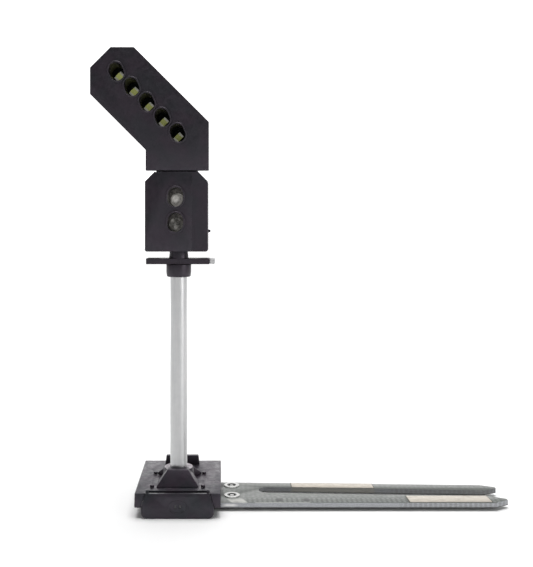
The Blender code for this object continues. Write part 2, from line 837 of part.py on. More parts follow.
def head_outline(turn=0.35):
    """The head from the front; turn rounds its two lower corners."""
    outline = [(HEAD_LEFT, HEAD_BOTTOM), (HEAD_RIGHT, HEAD_BOTTOM)]
    if turn:
        outline = arc((HEAD_LEFT + turn, HEAD_BOTTOM + turn), turn, 180, 270, 3)
        outline += arc((HEAD_RIGHT - turn, HEAD_BOTTOM + turn), turn, -90, 0, 3)
    outline += [
        (HEAD_RIGHT, HEAD_TOP - HEAD_CHAMFER),
        (HEAD_RIGHT - HEAD_CHAMFER, HEAD_TOP),
        (HEAD_LEFT + HEAD_CHAMFER, HEAD_TOP),
        (HEAD_LEFT, HEAD_TOP - HEAD_CHAMFER),
    ]
    return outline


def light_places():
    return [(LIGHT_X, z) for z in LIGHT_Z]


def head_cavity():
    """The space behind the head's face, round the block that holds the two light tubes."""
    cavity = outline_solid(
        "head_cavity",
        inset(head_outline(0), SHELL_WALL),
        FACE_Y + 1.0,
        SHELL_BACK + 1,
        "XZ",
        cutters,
    )
    tubes = block(
        "head_tube_block",
        (LIGHT_X - LIGHT_BORE - 0.6, FACE_Y, LIGHT_Z[1] - LIGHT_BORE - 0.9),
        (LIGHT_X + LIGHT_BORE + 0.6, BARREL_BACK, LIGHT_Z[0] + LIGHT_BORE + 0.9),
        cutters,
    )
    return cut(cavity, tubes)


def head_shell():
    shell = outline_solid("head_shell", head_outline(), FACE_Y, SHELL_BACK, "XZ", parts, black)
    soften(shell, 0.08, 1)
    for place in light_places():
        hood(shell, place, LIGHT_STRETCH, LIGHT_BORE)
    nub = rod("gate_nub", (HEAD_RIGHT - 0.3, *NUB), (HEAD_RIGHT + 0.4, *NUB), NUB_RADIUS, cutters, sides=12)
    join(shell, nub)
    cut(shell, head_cavity())
    for place in light_places():
        bore(shell, place, LIGHT_STRETCH, LIGHT_BORE)
    cut(shell, rod("head_lead_hole", (0, 0, 40), (0, 0, 42.6), 0.9, cutters))
    spigot_opening = block(
        "head_spigot_opening",
        (SPIGOT[0] - GAP, SPIGOT_Y[0] - GAP, HEAD_TOP - 1.5),
        (SPIGOT[1] + GAP, SPIGOT_Y[1] + GAP, HEAD_TOP + 1),
        cutters,
    )
    cut(shell, spigot_opening)
    return shell


def back_cover(name, outline):
    front = SHELL_BACK + GAP
    cover = outline_solid(name, outline, front, front + COVER_THICK, "XZ", parts, black)
    return soften(cover, 0.1, 1)


def feather_outline():
    """The face plate from the front: every slanted side is at 45 degrees."""
    return [
        (FEATHER_LOW_LEFT, FEATHER_BOTTOM),
        (FEATHER_RIGHT, FEATHER_BOTTOM),
        (FEATHER_RIGHT, FEATHER_SHOULDER_Z),
        (FEATHER_CREST_X[1], FEATHER_TOP),
        (FEATHER_CREST_X[0], FEATHER_TOP),
        (FEATHER_FAR_LEFT, FEATHER_SIDE_Z[1]),
        (FEATHER_FAR_LEFT, FEATHER_SIDE_Z[0]),
        (FEATHER_LOW_LEFT, FEATHER_ELBOW_Z),
    ]


def route_light_places(drop=0.0):
    x, z = FIRST_LIGHT
    return [(x + LIGHT_STEP * i, z - (LIGHT_STEP + drop) * i) for i in range(FEATHER_LIGHTS)]


def feather_cavity():
    """The space behind the plate, round the bar that holds the five light tubes."""
    cavity = outline_solid(
        "feather_cavity",
        inset(feather_outline(), HOUSING_INSET + SHELL_WALL),
        PLATE_BACK + 0.1,
        SHELL_BACK + 1,
        "XZ",
        cutters,
    )
    places = route_light_places()
    reach = FEATHER_BORE + 0.75
    bar = outline_solid(
        "feather_tube_bar",
        arc(places[0], reach, 45, 225, 6) + arc(places[-1], reach, 225, 405, 6),
        FACE_Y,
        BARREL_BACK,
        "XZ",
        cutters,
    )
    return cut(cavity, bar)


def feather_shell():
    shell = outline_solid("feather_shell", feather_outline(), FACE_Y, PLATE_BACK, "XZ", parts, black)
    soften(shell, 0.08, 1)
    housing = outline_solid(
        "feather_housing",
        inset(feather_outline(), HOUSING_INSET),
        PLATE_BACK - 0.4,
        SHELL_BACK,
        "XZ",
        cutters,
    )
    join(shell, housing)
    spigot = block(
        "feather_spigot",
        (SPIGOT[0], SPIGOT_Y[0], HEAD_TOP - 1.0),
        (SPIGOT[1], SPIGOT_Y[1], FEATHER_BOTTOM + 1.6),
        cutters,
    )
    join(shell, spigot)
    for place in route_light_places():
        hood(shell, place, FEATHER_STRETCH, FEATHER_BORE)
    cut(shell, feather_cavity())
    for place in route_light_places():
        bore(shell, place, FEATHER_STRETCH, FEATHER_BORE)
    lead_way = block(
        "feather_lead_way",
        (SPIGOT[0] + 0.7, SPIGOT_Y[0] + 0.7, HEAD_TOP - 2),
        (SPIGOT[1] - 0.7, SPIGOT_Y[1] - 0.7, FEATHER_BOTTOM + 1.9),
        cutters,
    )
    cut(shell, lead_way)
    return shell


def chip_led(number, middle):
    """A flat lamp on the board, its long side across the row."""
    x, z = middle
    lamp = block(
        f"route_led_{number}",
        (-CHIP_LED[0] / 2, -CHIP_LED[2] / 2, -CHIP_LED[1] / 2),
        (CHIP_LED[0] / 2, CHIP_LED[2] / 2, CHIP_LED[1] / 2),
        parts,
        phosphor,
    )
    soften(lamp, 0.05, 1)
    lamp.rotation_euler = (0, math.radians(-45), 0)
    lamp.location = (x * MM, (BOARD_Y[0] - GAP - CHIP_LED[2] / 2) * MM, z * MM)


def dome_lamp(name, middle):
    """A clear lamp with a round nose, lying along Y with its flange on the board."""
    x, z = middle
    flange = BOARD_Y[0] - GAP
    length = flange - LAMP_NOSE_Y
    dome = arc((0, length - LAMP_RADIUS), LAMP_RADIUS, 84, 0, 7)
    profile = [(0.1, length)] + dome[1:]
    wide = LAMP_RADIUS + LAMP_FLANGE
    profile += [(LAMP_RADIUS, LAMP_FLANGE_THICK), (wide, LAMP_FLANGE_THICK), (wide, 0.0), (0.1, 0.0)]
    shape = rod(name, (0, 0, 0), (0, 0, length), 0.15, parts, clear, sides=SEGMENTS)
    skin = turned(name + "_skin", profile, cutters, clear)
    join(shape, skin)
    for obj in (shape, skin):
        obj.rotation_euler = (math.pi / 2, 0, 0)
        obj.location = (x * MM, flange * MM, z * MM)
    return shape


def head_insides():
    low = inset(head_outline(0), SHELL_WALL + 0.15)
    outline_solid("head_led_board", low, BOARD_Y[0], BOARD_Y[1], "XZ", parts, board_green)
    for name, place in zip(("head_lamp_upper", "head_lamp_lower"), LAMP_PLACES):
        dome_lamp(name, place)


def feather_insides():
    outline = inset(feather_outline(), HOUSING_INSET + SHELL_WALL + 0.15)
    outline_solid("feather_led_board", outline, BOARD_Y[0], BOARD_Y[1], "XZ", parts, board_green)
    for number, place in enumerate(route_light_places(CHIP_LED_DROP), 1):
        chip_led(number, place)


def leads():
    """Enamelled wires from the base board, up the tube and the neck, to the lamp boards."""
    board_face = BOARD_Y[0] - GAP - LEAD_RADIUS
    for name, (x, y) in LEAD_PLACES.items():
        start = (x * 2.2 + 0.3, y * 2.2 + 1.3, BOARD_TOP + 0.2)
        in_tube = [(x, y, z) for z in LEAD_TUBE_Z]
        route = [start, (x * 1.6, y * 1.6 + 0.4, 2.6)] + in_tube
        if name == "lead_route":
            route = [start, (x, y, 3.4)] + in_tube[1:] + [(1.9, 0.6, 43.0)]
            route += [(*ROUTE_LEAD_UP, 44.0), (*ROUTE_LEAD_UP, 51.6), (1.4, 0.2, 53.0), (1.2, 0.0, 55.2)]
            route += [(1.2, 0.4, 56.2), (1.2, board_face, 56.8), (1.2, board_face, 57.6)]
        else:
            side = {"lead_common": -1.2, "lead_red": 1.2, "lead_green": 0.0}[name]
            route += [(x + side * 0.4, y + 0.6, 42.5), (side, board_face, 43.0), (side, board_face, 43.6)]
        wire(name, route, LEAD_RADIUS, parts, enamel)


clear_scene()
parts = new_collection("route_indicator_signal")
cutters = new_collection("cutters")

black = material("black_moulding", (0.035, 0.033, 0.038), 0.55)
chip_black = material("chip_black", (0.02, 0.02, 0.022), 0.4)
laminate = material("laminate", (0.27, 0.29, 0.27), 0.5)
board_green = material("board_green", (0.05, 0.16, 0.09), 0.45)
gold = material("contact_gold", (0.83, 0.74, 0.6), 0.35, 0.9)
tin = material("tinned_copper", (0.8, 0.8, 0.8), 0.3, 0.95)
aluminium = material("aluminium", (0.74, 0.75, 0.76), 0.32, 0.95)
pale_grey = material("pale_grey", (0.52, 0.52, 0.53), 0.5)
phosphor = material("phosphor", (0.62, 0.64, 0.12), 0.5)
clear = material("clear_resin", (0.82, 0.82, 0.8), 0.15)
ceramic = material("ceramic", (0.45, 0.33, 0.22), 0.5)
enamel = material("enamel", (0.45, 0.15, 0.06), 0.35)

base_tub()
base_cover()
foot_bolts()
contact_fork()
rail_pads()
eyelets()
base_electronics()
sensor_bezel()
override_switch()
override_slider()
mast_foot()
mast_tube()
mast_collar()
platform()
head_shell()
back_cover("head_back_cover", head_outline())
head_insides()
feather_shell()
back_cover("feather_back_cover", inset(feather_outline(), HOUSING_INSET))
feather_insides()
leads()
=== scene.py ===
"""The looks of the model railway signal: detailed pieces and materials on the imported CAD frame."""

import math

import bmesh
import bpy
from mathutils import Matrix, Vector


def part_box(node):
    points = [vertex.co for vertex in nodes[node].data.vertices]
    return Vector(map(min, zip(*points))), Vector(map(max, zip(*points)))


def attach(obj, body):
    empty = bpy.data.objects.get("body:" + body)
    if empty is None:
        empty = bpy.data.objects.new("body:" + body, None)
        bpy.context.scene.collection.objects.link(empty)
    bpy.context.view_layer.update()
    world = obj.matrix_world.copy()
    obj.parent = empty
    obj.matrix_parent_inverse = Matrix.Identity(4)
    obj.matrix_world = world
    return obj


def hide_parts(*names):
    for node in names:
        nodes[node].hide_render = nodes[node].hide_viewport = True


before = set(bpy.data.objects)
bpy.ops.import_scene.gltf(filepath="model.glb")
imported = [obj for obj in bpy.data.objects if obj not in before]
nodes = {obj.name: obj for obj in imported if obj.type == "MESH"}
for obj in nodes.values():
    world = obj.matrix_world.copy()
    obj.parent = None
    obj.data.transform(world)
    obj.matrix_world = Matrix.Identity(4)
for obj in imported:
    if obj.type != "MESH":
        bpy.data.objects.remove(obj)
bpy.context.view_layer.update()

MM = 0.001
ROUND = 72  # sides of a round feature
ON_AXIS = 0.0001  # the radius at which a turned profile closes on its axis
BODY = "signal"
PADS = ("rail_pad_rear", "rail_pad_front")
EYELETS = ("solder_eyelet_rear", "solder_eyelet_front")

# Sizes that the nodes' boxes don't give, in millimetres, as in the CAD model
GAP = 0.03  # between two pieces that touch
SLIDER_BOTTOM = 3.93
SLIDER_TAPER = (0.21, 0.1)
SLIDER_STEM_HALF = 0.45
SLIDER_STEM_Y = (8.65, 9.15)
BOLT_HEAD = 0.34
TUBE_BORE = 1.05
FOOT_HALF = 3.42
FOOT_TOP_HALF = 1.62
FOOT_TOP_DEPTH = 2.45
FOOT_INNER_DEPTH = 0.9
BOSS_RADIUS = 2.4
BOSS_FLARE = 0.3
BOSS_TOP = 6.15
RIB_START = 1.9
RIB_REACH = 4.75
RIB_THICK = 1.25
RIB_ANGLE = 47.0
RIB_END_HEIGHT = 0.35
NECK_RADIUS = 1.6
NECK_TOP_RADIUS = 1.48
NECK_BORE = 0.9
FACE_Y = -3.0
PLATE_BACK = -1.7
SHELL_BACK = 3.0
SHELL_WALL = 0.8
BARREL_BACK = 1.7
HEAD_CHAMFER = 1.52
LIGHT_BORE = 1.28
LIGHT_STRETCH = ((0.03, 0.28), (-0.03, -0.28))  # the two ends of each oval opening
HEAD_LIGHTS = ((-0.4, 50.16), (-0.4, 46.1))
LAMP_FLANGE = 0.22
LAMP_FLANGE_THICK = 0.4
NUB_PLACE = (-0.6, 44.7)  # Y and Z of the pip on the head's right edge
NUB_RADIUS = 0.26
NUB_LENGTH = 0.7
FEATHER_BOTTOM = 54.4
FEATHER_LOW_LEFT = -5.17
FEATHER_SHOULDER_Z = 62.2
FEATHER_ELBOW_Z = 57.7
FEATHER_SIDE_Z = (66.62, 70.9)
FEATHER_CREST_X = (-10.78, -7.02)
HOUSING_INSET = 0.62
FEATHER_BORE = 1.14
FEATHER_STRETCH = ((0.0, 0.22), (0.26, -0.42))
FIRST_LIGHT = (-9.97, 70.33)
LIGHT_STEP = 2.45
LIGHT_DROP = 0.08  # how much lower each flat lamp sits than the one before it, beyond the step
CHIP_LED_HALF = (0.75, 0.48)
SPIGOT_X = (-3.55, 3.15)
SPIGOT_Y = (-1.6, 1.4)
SPIGOT_Z = (53.18, 56.0)
SPIGOT_WALL = 0.7
HOOD_WALL = 0.24
HOOD_PROUD = 0.42

# Sizes that only this script uses, in millimetres
SEAM_X = 2.25  # right of this the head's face lies a shade deeper
SEAM_DEPTH = 0.035
SPIGOT_WAY_Z = (52.7, 55.2)  # the spigot's slot in the head, and the leads' way through the spigot
LEAD_WAY_Z = (52.0, 56.3)
BEZEL_PROUD = 0.08
BEZEL_RECESS = 0.04
BEZEL_RIM = 0.13
BEZEL_SLOT_HALF = (0.14, 0.28)
FILLING_HALF = 0.42  # half the length of a flat lamp's yellow middle
FILLING_PROUD = 0.2
# The glints are painted highlights in the resin.
UPPER_GLINTS = (((-0.6, 49.94), 0.5),)  # where a reflector shines through: X and Z, radius
LOWER_GLINTS = (((-0.5, 45.3), 0.15), ((-1.07, 46.4), 0.1))

# The board's markings, each from a low to a high X and from a low to a high Y, in millimetres
FRONT_TRACK = ((11.0, 52.0), (-3.1, -1.1))
REAR_TRACK = ((12.5, 52.0), (2.95, 4.0))
REAR_COPPER = ((9.5, 52.0), (5.2, 7.0))
# A pale line along the front prong's top front edge
PALE_EDGE_LINE = ((12.5, 21.0), (-3.34, -3.16))
MESH_PERIOD = 0.8
STAIN_X = (16.3, 20.7)

# Emission strengths that stand in for daylight scattered in the lamps; none is a lit aspect
FILLING_GLOW = (0.1, 0.22)  # of the flat lamps' yellow, at the heights in FILLING_GLOW_Z
FILLING_GLOW_Z = (60, 71)
ENDS_GLOW = 0.13
RESIN_GLOW = (0.05, 0.3)
HEAD_BOARD_GLOW = 0.045

# The studio
CAMERA_PLACE = (7.4, -131.7, 45.5)
CAMERA_LENS = 51.05
CAMERA_SHIFT = (0.075, -0.1014)
BACKDROP_LIGHT = 1.62
WALL_LIGHT = 0.26
CEILING_SHARE = 0.4
FLOOR_GLOW = 0.75  # far from the object, so that no horizon shows
FLOOR_GLOW_FROM = 90
FLOOR_GLOW_TO = 260


# ---------------------------------------------------------------- geometry helpers


def node_box(name):
    """A CAD node's lowest and highest corner, in millimetres."""
    low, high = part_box(name)
    return low / MM, high / MM


def new_object(name, mesh):
    obj = bpy.data.objects.new(name, mesh)
    bpy.context.scene.collection.objects.link(obj)
    return obj


def mesh_object(name, shape):
    mesh = bpy.data.meshes.new(name)
    bmesh.ops.recalc_face_normals(shape, faces=shape.faces)
    shape.to_mesh(mesh)
    shape.free()
    return new_object(name, mesh)


def baked(obj, *used):
    """Applies the modifiers, and removes the objects that they used."""
    bpy.context.view_layer.update()
    evaluated = obj.evaluated_get(bpy.context.evaluated_depsgraph_get())
    mesh = bpy.data.meshes.new_from_object(evaluated)
    mesh.transform(obj.matrix_world)
    obj.modifiers.clear()
    name = obj.name
    for other in (obj, *used):
        bpy.data.objects.remove(other, do_unlink=True)
    return new_object(name, mesh)


def smooth(obj, degrees=32):
    obj.data.shade_smooth()
    obj.data.set_sharp_from_angle(angle=math.radians(degrees))
    return obj


def rounded(obj, width, segments=3, degrees=40):
    bevel = obj.modifiers.new("edges", "BEVEL")
    bevel.width = width * MM
    bevel.segments = segments
    bevel.limit_method = "ANGLE"
    bevel.angle_limit = math.radians(degrees)
    bevel.harden_normals = False
    return baked(obj)


def boolean(obj, others, operation):
    for other in others:
        step = obj.modifiers.new(operation.lower(), "BOOLEAN")
        step.operation = operation
        step.solver = "EXACT"
        step.object = other
    return baked(obj, *others)


def block(name, low, high):
    shape = bmesh.new()
    bmesh.ops.create_cube(shape, size=1.0)
    size = Vector(high) - Vector(low)
    bmesh.ops.scale(shape, vec=size * MM, verts=shape.verts)
    bmesh.ops.translate(shape, vec=(Vector(high) + Vector(low)) / 2 * MM, verts=shape.verts)
    return mesh_object(name, shape)


def tapered(name, low, high, top_low, top_high):
    """A box whose top face lies between the X and Y of top_low and top_high."""
    obj = block(name, low, high)
    for vertex in obj.data.vertices:
        if vertex.co.z > (low[2] + high[2]) / 2 * MM:
            for axis in (0, 1):
                middle = (low[axis] + high[axis]) / 2 * MM
                side = top_high if vertex.co[axis] > middle else top_low
                vertex.co[axis] = side[axis] * MM
    return obj


def prism(name, points, low, high, plane="XZ"):
    """A flat outline, anticlockwise, made solid from low to high along the third axis."""
    shape = bmesh.new()
    placed = [(across * MM, low * MM, along * MM) for across, along in points]
    if plane == "XY":
        placed = [(across * MM, along * MM, low * MM) for across, along in points]
    face = shape.faces.new([shape.verts.new(place) for place in placed])
    moved = bmesh.ops.extrude_face_region(shape, geom=[face])["geom"]
    travel = (high - low) * MM
    step = Vector((0, travel, 0)) if plane == "XZ" else Vector((0, 0, travel))
    bmesh.ops.translate(shape, vec=step, verts=[v for v in moved if isinstance(v, bmesh.types.BMVert)])
    return mesh_object(name, shape)


def lathe(name, profile, axis="Z", middle=(0, 0, 0), sides=ROUND):
    """A closed profile of (radius, along) pairs turned about an axis through middle."""
    shape = bmesh.new()
    rings = []
    for turn in range(sides):
        angle = 2 * math.pi * turn / sides
        ring = []
        for radius, along in profile:
            across, up = radius * math.cos(angle), radius * math.sin(angle)
            place = (across, up, along) if axis == "Z" else (across, along, up)
            ring.append(shape.verts.new((Vector(place) + Vector(middle)) * MM))
        rings.append(ring)
    count = len(profile)
    for turn in range(sides):
        here, after = rings[turn], rings[(turn + 1) % sides]
        for i in range(count):
            j = (i + 1) % count
            shape.faces.new((here[i], here[j], after[j], after[i]))
    bmesh.ops.remove_doubles(shape, verts=shape.verts, dist=0.0005 * MM)
    return mesh_object(name, shape)


def rod(name, radius, low, high):
    """A round bar on the Z axis."""
    return lathe(name, [(ON_AXIS, high), (radius, high), (radius, low), (ON_AXIS, low)])


def arc(middle, radius, start, end, steps=6):
    turns = [math.radians(start + (end - start) * i / steps) for i in range(steps + 1)]
    return [(middle[0] + radius * math.cos(t), middle[1] + radius * math.sin(t)) for t in turns]


def inset(points, width):
    """The outline moved inwards by width; points run anticlockwise."""
    moved = []
    for i, corner in enumerate(points):
        corner = Vector(corner)
        before = (corner - Vector(points[i - 1])).normalized()
        after = (Vector(points[(i + 1) % len(points)]) - corner).normalized()
        inward = (Vector((-before.y, before.x)) + Vector((-after.y, after.x))).normalized()
        moved.append(tuple(corner + inward * (width / inward.dot(Vector((-after.y, after.x))))))
    return moved


def refined(node, width, name=None, segments=3, degrees=50):
    """A copy of a CAD node with its flat faces whole again and its sharp edges rounded."""
    shape = bmesh.new()
    shape.from_mesh(nodes[node].data)
    bmesh.ops.remove_doubles(shape, verts=shape.verts, dist=0.002 * MM)
    bmesh.ops.dissolve_limit(shape, angle_limit=math.radians(0.6), verts=shape.verts, edges=shape.edges)
    obj = mesh_object(name or node + "_moulded", shape)
    return smooth(rounded(obj, width, segments, degrees))


def placed(obj, look, slot, *replaced, body=BODY):
    """Gives a piece its material and its body, and hides the CAD nodes that it stands for; slot is not used.
    """
    obj.data.materials.clear()
    obj.data.materials.append(look)
    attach(obj, body)
    if replaced:
        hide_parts(*replaced)
    return obj


# ---------------------------------------------------------------- materials


class Look:
    """Builds one Principled material, its patterns measured in the row frame's metres."""

    def __init__(self, name, colour, roughness, metallic=0.0, **sockets):
        self.material = bpy.data.materials.new(name)
        self.material.use_nodes = True
        self.tree = self.material.node_tree
        self.shader = self.tree.nodes["Principled BSDF"]
        self.place = self.tree.nodes.new("ShaderNodeTexCoord")
        self.shader.inputs["Base Color"].default_value = (*colour, 1)
        self.shader.inputs["Roughness"].default_value = roughness
        self.shader.inputs["Metallic"].default_value = metallic
        for socket, value in sockets.items():
            self.shader.inputs[socket.replace("_", " ")].default_value = value

    def node(self, kind, **values):
        made = self.tree.nodes.new(kind)
        for name, value in values.items():
            setattr(made, name, value)
        return made

    def link(self, output, target):
        self.tree.links.new(output, target)

    def coordinates(self, stretch=(1, 1, 1), turn=(0, 0, 0)):
        mapping = self.node("ShaderNodeMapping")
        mapping.inputs["Scale"].default_value = stretch
        mapping.inputs["Rotation"].default_value = turn
        self.link(self.place.outputs["Object"], mapping.inputs["Vector"])
        return mapping.outputs["Vector"]

    def noise(self, size, detail=4.0, stretch=(1, 1, 1), rough=0.55):
        """Noise whose features are about size millimetres across, from 0 to 1."""
        noise = self.node("ShaderNodeTexNoise")
        noise.inputs["Scale"].default_value = 1 / (size * MM)
        noise.inputs["Detail"].default_value = detail
        noise.inputs["Roughness"].default_value = rough
        self.link(self.coordinates(stretch), noise.inputs["Vector"])
        return noise.outputs["Fac"]

    def spread(self, value, low, high, start=0.0, end=1.0):
        """Maps value from start..end to low..high, clamped."""
        ranged = self.node("ShaderNodeMapRange")
        for socket, number in zip(("From Min", "From Max", "To Min", "To Max"), (start, end, low, high)):
            ranged.inputs[socket].default_value = number
        self.link(value, ranged.inputs["Value"])
        return ranged.outputs["Result"]

    def axes(self):
        """The three row-frame coordinates of a point, in metres."""
        split = self.node("ShaderNodeSeparateXYZ")
        self.link(self.place.outputs["Object"], split.inputs["Vector"])
        return tuple(split.outputs)

    def inside(self, value, low, high, soft):
        """1 where value lies from low to high millimetres, fading out over soft."""
        rise = self.spread(value, 0, 1, (low - soft) * MM, low * MM)
        fall = self.spread(value, 1, 0, high * MM, (high + soft) * MM)
        return self.maths("MULTIPLY", rise, fall)

    def squares(self, value, period):
        """1 on half of every period millimetres of value, 0 on the other half."""
        wrapped = self.maths("PINGPONG", value, period / 2 * MM)
        return self.spread(wrapped, 0, 1, period * 0.18 * MM, period * 0.26 * MM)

    def distance(self, first, second, place):
        """How far a point lies from place, measured along two of the axes, in metres."""
        across = self.maths("SUBTRACT", first, place[0] * MM)
        along = self.maths("SUBTRACT", second, place[1] * MM)
        square = self.maths("ADD", self.maths("POWER", across, 2.0), self.maths("POWER", along, 2.0))
        return self.maths("SQRT", square, 0)

    def spot(self, first, second, place, radius, soft):
        """1 within radius millimetres of place, measured along two of the axes."""
        away = self.distance(first, second, place)
        return self.spread(away, 1, 0, radius * MM, (radius + soft) * MM)

    def patch(self, x, y, place, half, soft):
        """1 on a soft-edged patch with the given middle and half sizes."""
        across = self.inside(x, place[0] - half[0], place[0] + half[0], soft)
        along = self.inside(y, place[1] - half[1], place[1] + half[1], soft)
        return self.maths("MULTIPLY", across, along)

    def maths(self, operation, first, second):
        made = self.node("ShaderNodeMath", operation=operation)
        for socket, value in zip(made.inputs, (first, second)):
            if isinstance(value, (int, float)):
                socket.default_value = value
            else:
                self.link(value, socket)
        return made.outputs["Value"]

    def mix(self, factor, first, second):
        """Mixes two colours, each a triple or an output."""
        made = self.node("ShaderNodeMix", data_type="RGBA")
        self.link(factor, made.inputs["Factor"])
        for socket, value in zip((made.inputs[6], made.inputs[7]), (first, second)):
            if isinstance(value, tuple):
                socket.default_value = (*value, 1)
            else:
                self.link(value, socket)
        return made.outputs[2]

    def over(self, surface, where, share, colour):
        """Lays a colour over a share of the surface, where the mask is 1."""
        return self.mix(self.maths("MULTIPLY", where, share), surface, colour)

    def mottled(self, size, detail, first, second, start=0.35, end=0.7):
        """Two colours in soft patches, about size millimetres across."""
        return self.mix(self.spread(self.noise(size, detail), 0, 1, start, end), first, second)

    def colour(self, output):
        self.link(output, self.shader.inputs["Base Color"])

    def rough(self, output):
        self.link(output, self.shader.inputs["Roughness"])

    def bump(self, height, depth, strength=1.0):
        """Raises the surface by up to depth millimetres where height is 1."""
        bump = self.node("ShaderNodeBump")
        bump.inputs["Distance"].default_value = depth * MM
        bump.inputs["Strength"].default_value = strength
        self.link(height, bump.inputs["Height"])
        if self.shader.inputs["Normal"].is_linked:
            self.link(self.shader.inputs["Normal"].links[0].from_socket, bump.inputs["Normal"])
        self.link(bump.outputs["Normal"], self.shader.inputs["Normal"])

    def edges(self, radius, most):
        """Up to most within radius millimetres of an edge, 0 on flat faces."""
        bevel = self.node("ShaderNodeBevel", samples=4)
        bevel.inputs["Radius"].default_value = radius * MM
        plain = self.node("ShaderNodeNewGeometry")
        dot = self.node("ShaderNodeVectorMath", operation="DOT_PRODUCT")
        self.link(bevel.outputs["Normal"], dot.inputs[0])
        self.link(plain.outputs["Normal"], dot.inputs[1])
        return self.spread(dot.outputs["Value"], most, 0.0, 0.86, 0.99)


def black_moulding(name="black_moulding", shade=1.0, tint=(1.0, 0.9, 1.06), painted_top_sheen=False):
    """Charcoal polystyrene: a fine spark-eroded grain, faint purple and green drifts, worn edges; the foot's
    copy adds a painted highlight on the boss's flat top.
    """
    roughness = 0.4
    look = Look(name, (0.009, 0.008, 0.010), roughness, Specular_IOR_Level=0.5)
    look.shader.inputs["Specular Tint"].default_value = (*tint, 1)
    dark = tuple(shade * c for c in (0.0125, 0.0088, 0.0128))
    cool = tuple(shade * c for c in (0.0070, 0.0085, 0.0098))
    drift = look.mottled(3.5, 2, dark, cool, 0.4, 0.62)
    worn = tuple(shade * c for c in (0.030, 0.027, 0.029))
    uneven = look.spread(look.noise(0.9, 5), 0.15, 1, 0.35, 0.7)
    wear = look.maths("MULTIPLY", look.edges(0.08, 0.8), uneven)
    dusty = look.mix(look.spread(look.noise(0.32, 6, rough=0.7), 0, 0.3, 0.54, 0.8), drift, worn)
    surface = look.mix(wear, dusty, worn)
    # Painted highlight: the boss's flat top is painted pale, standing in for the backdrop's reflection on
    # it.
    if painted_top_sheen:
        upper = look.inside(look.axes()[2], BOSS_TOP - 0.03, BOSS_TOP + 0.03, 0.03)
        level = look.node("ShaderNodeSeparateXYZ")
        look.link(look.node("ShaderNodeNewGeometry").outputs["True Normal"], level.inputs["Vector"])
        boss_top_sheen = look.maths("MULTIPLY", upper, look.spread(level.outputs["Z"], 0, 1, 0.9, 0.97))
        mottled = look.spread(look.noise(0.6, 4), 0.5, 1, 0.35, 0.65)
        surface = look.mix(look.maths("MULTIPLY", boss_top_sheen, mottled), surface, (0.36, 0.33, 0.35))
    look.colour(surface)
    look.rough(look.spread(look.noise(0.7, 5), roughness - 0.1, roughness + 0.16, 0.3, 0.7))
    look.bump(look.noise(0.11, 3), 0.012, 0.5)
    look.bump(look.noise(0.9, 3), 0.03, 0.3)
    look.bump(look.noise(2.4, 2), 0.04, 0.3)
    return look.material


def drawn_aluminium():
    """Satin tube: draw lines along its length, faint handling marks."""
    look = Look("drawn_aluminium", (0.53, 0.535, 0.54), 0.36, 1.0)
    lines = look.noise(0.05, 3, (1, 1, 0.012))
    broad = look.noise(0.5, 3, (1, 1, 0.03))
    smudge = look.noise(2.4, 5)
    bright = look.mix(look.spread(smudge, 0, 1, 0.35, 0.7), (0.5, 0.505, 0.51), (0.58, 0.58, 0.58))
    look.colour(look.mix(look.spread(lines, 0, 0.45, 0.35, 0.65), bright, (0.44, 0.445, 0.45)))
    handled = look.maths("ADD", broad, look.spread(smudge, -0.1, 0.1, 0.3, 0.7))
    look.rough(look.spread(handled, 0.3, 0.44, 0.35, 0.7))
    look.bump(lines, 0.004, 0.6)
    look.bump(broad, 0.008, 0.3)
    return look.material


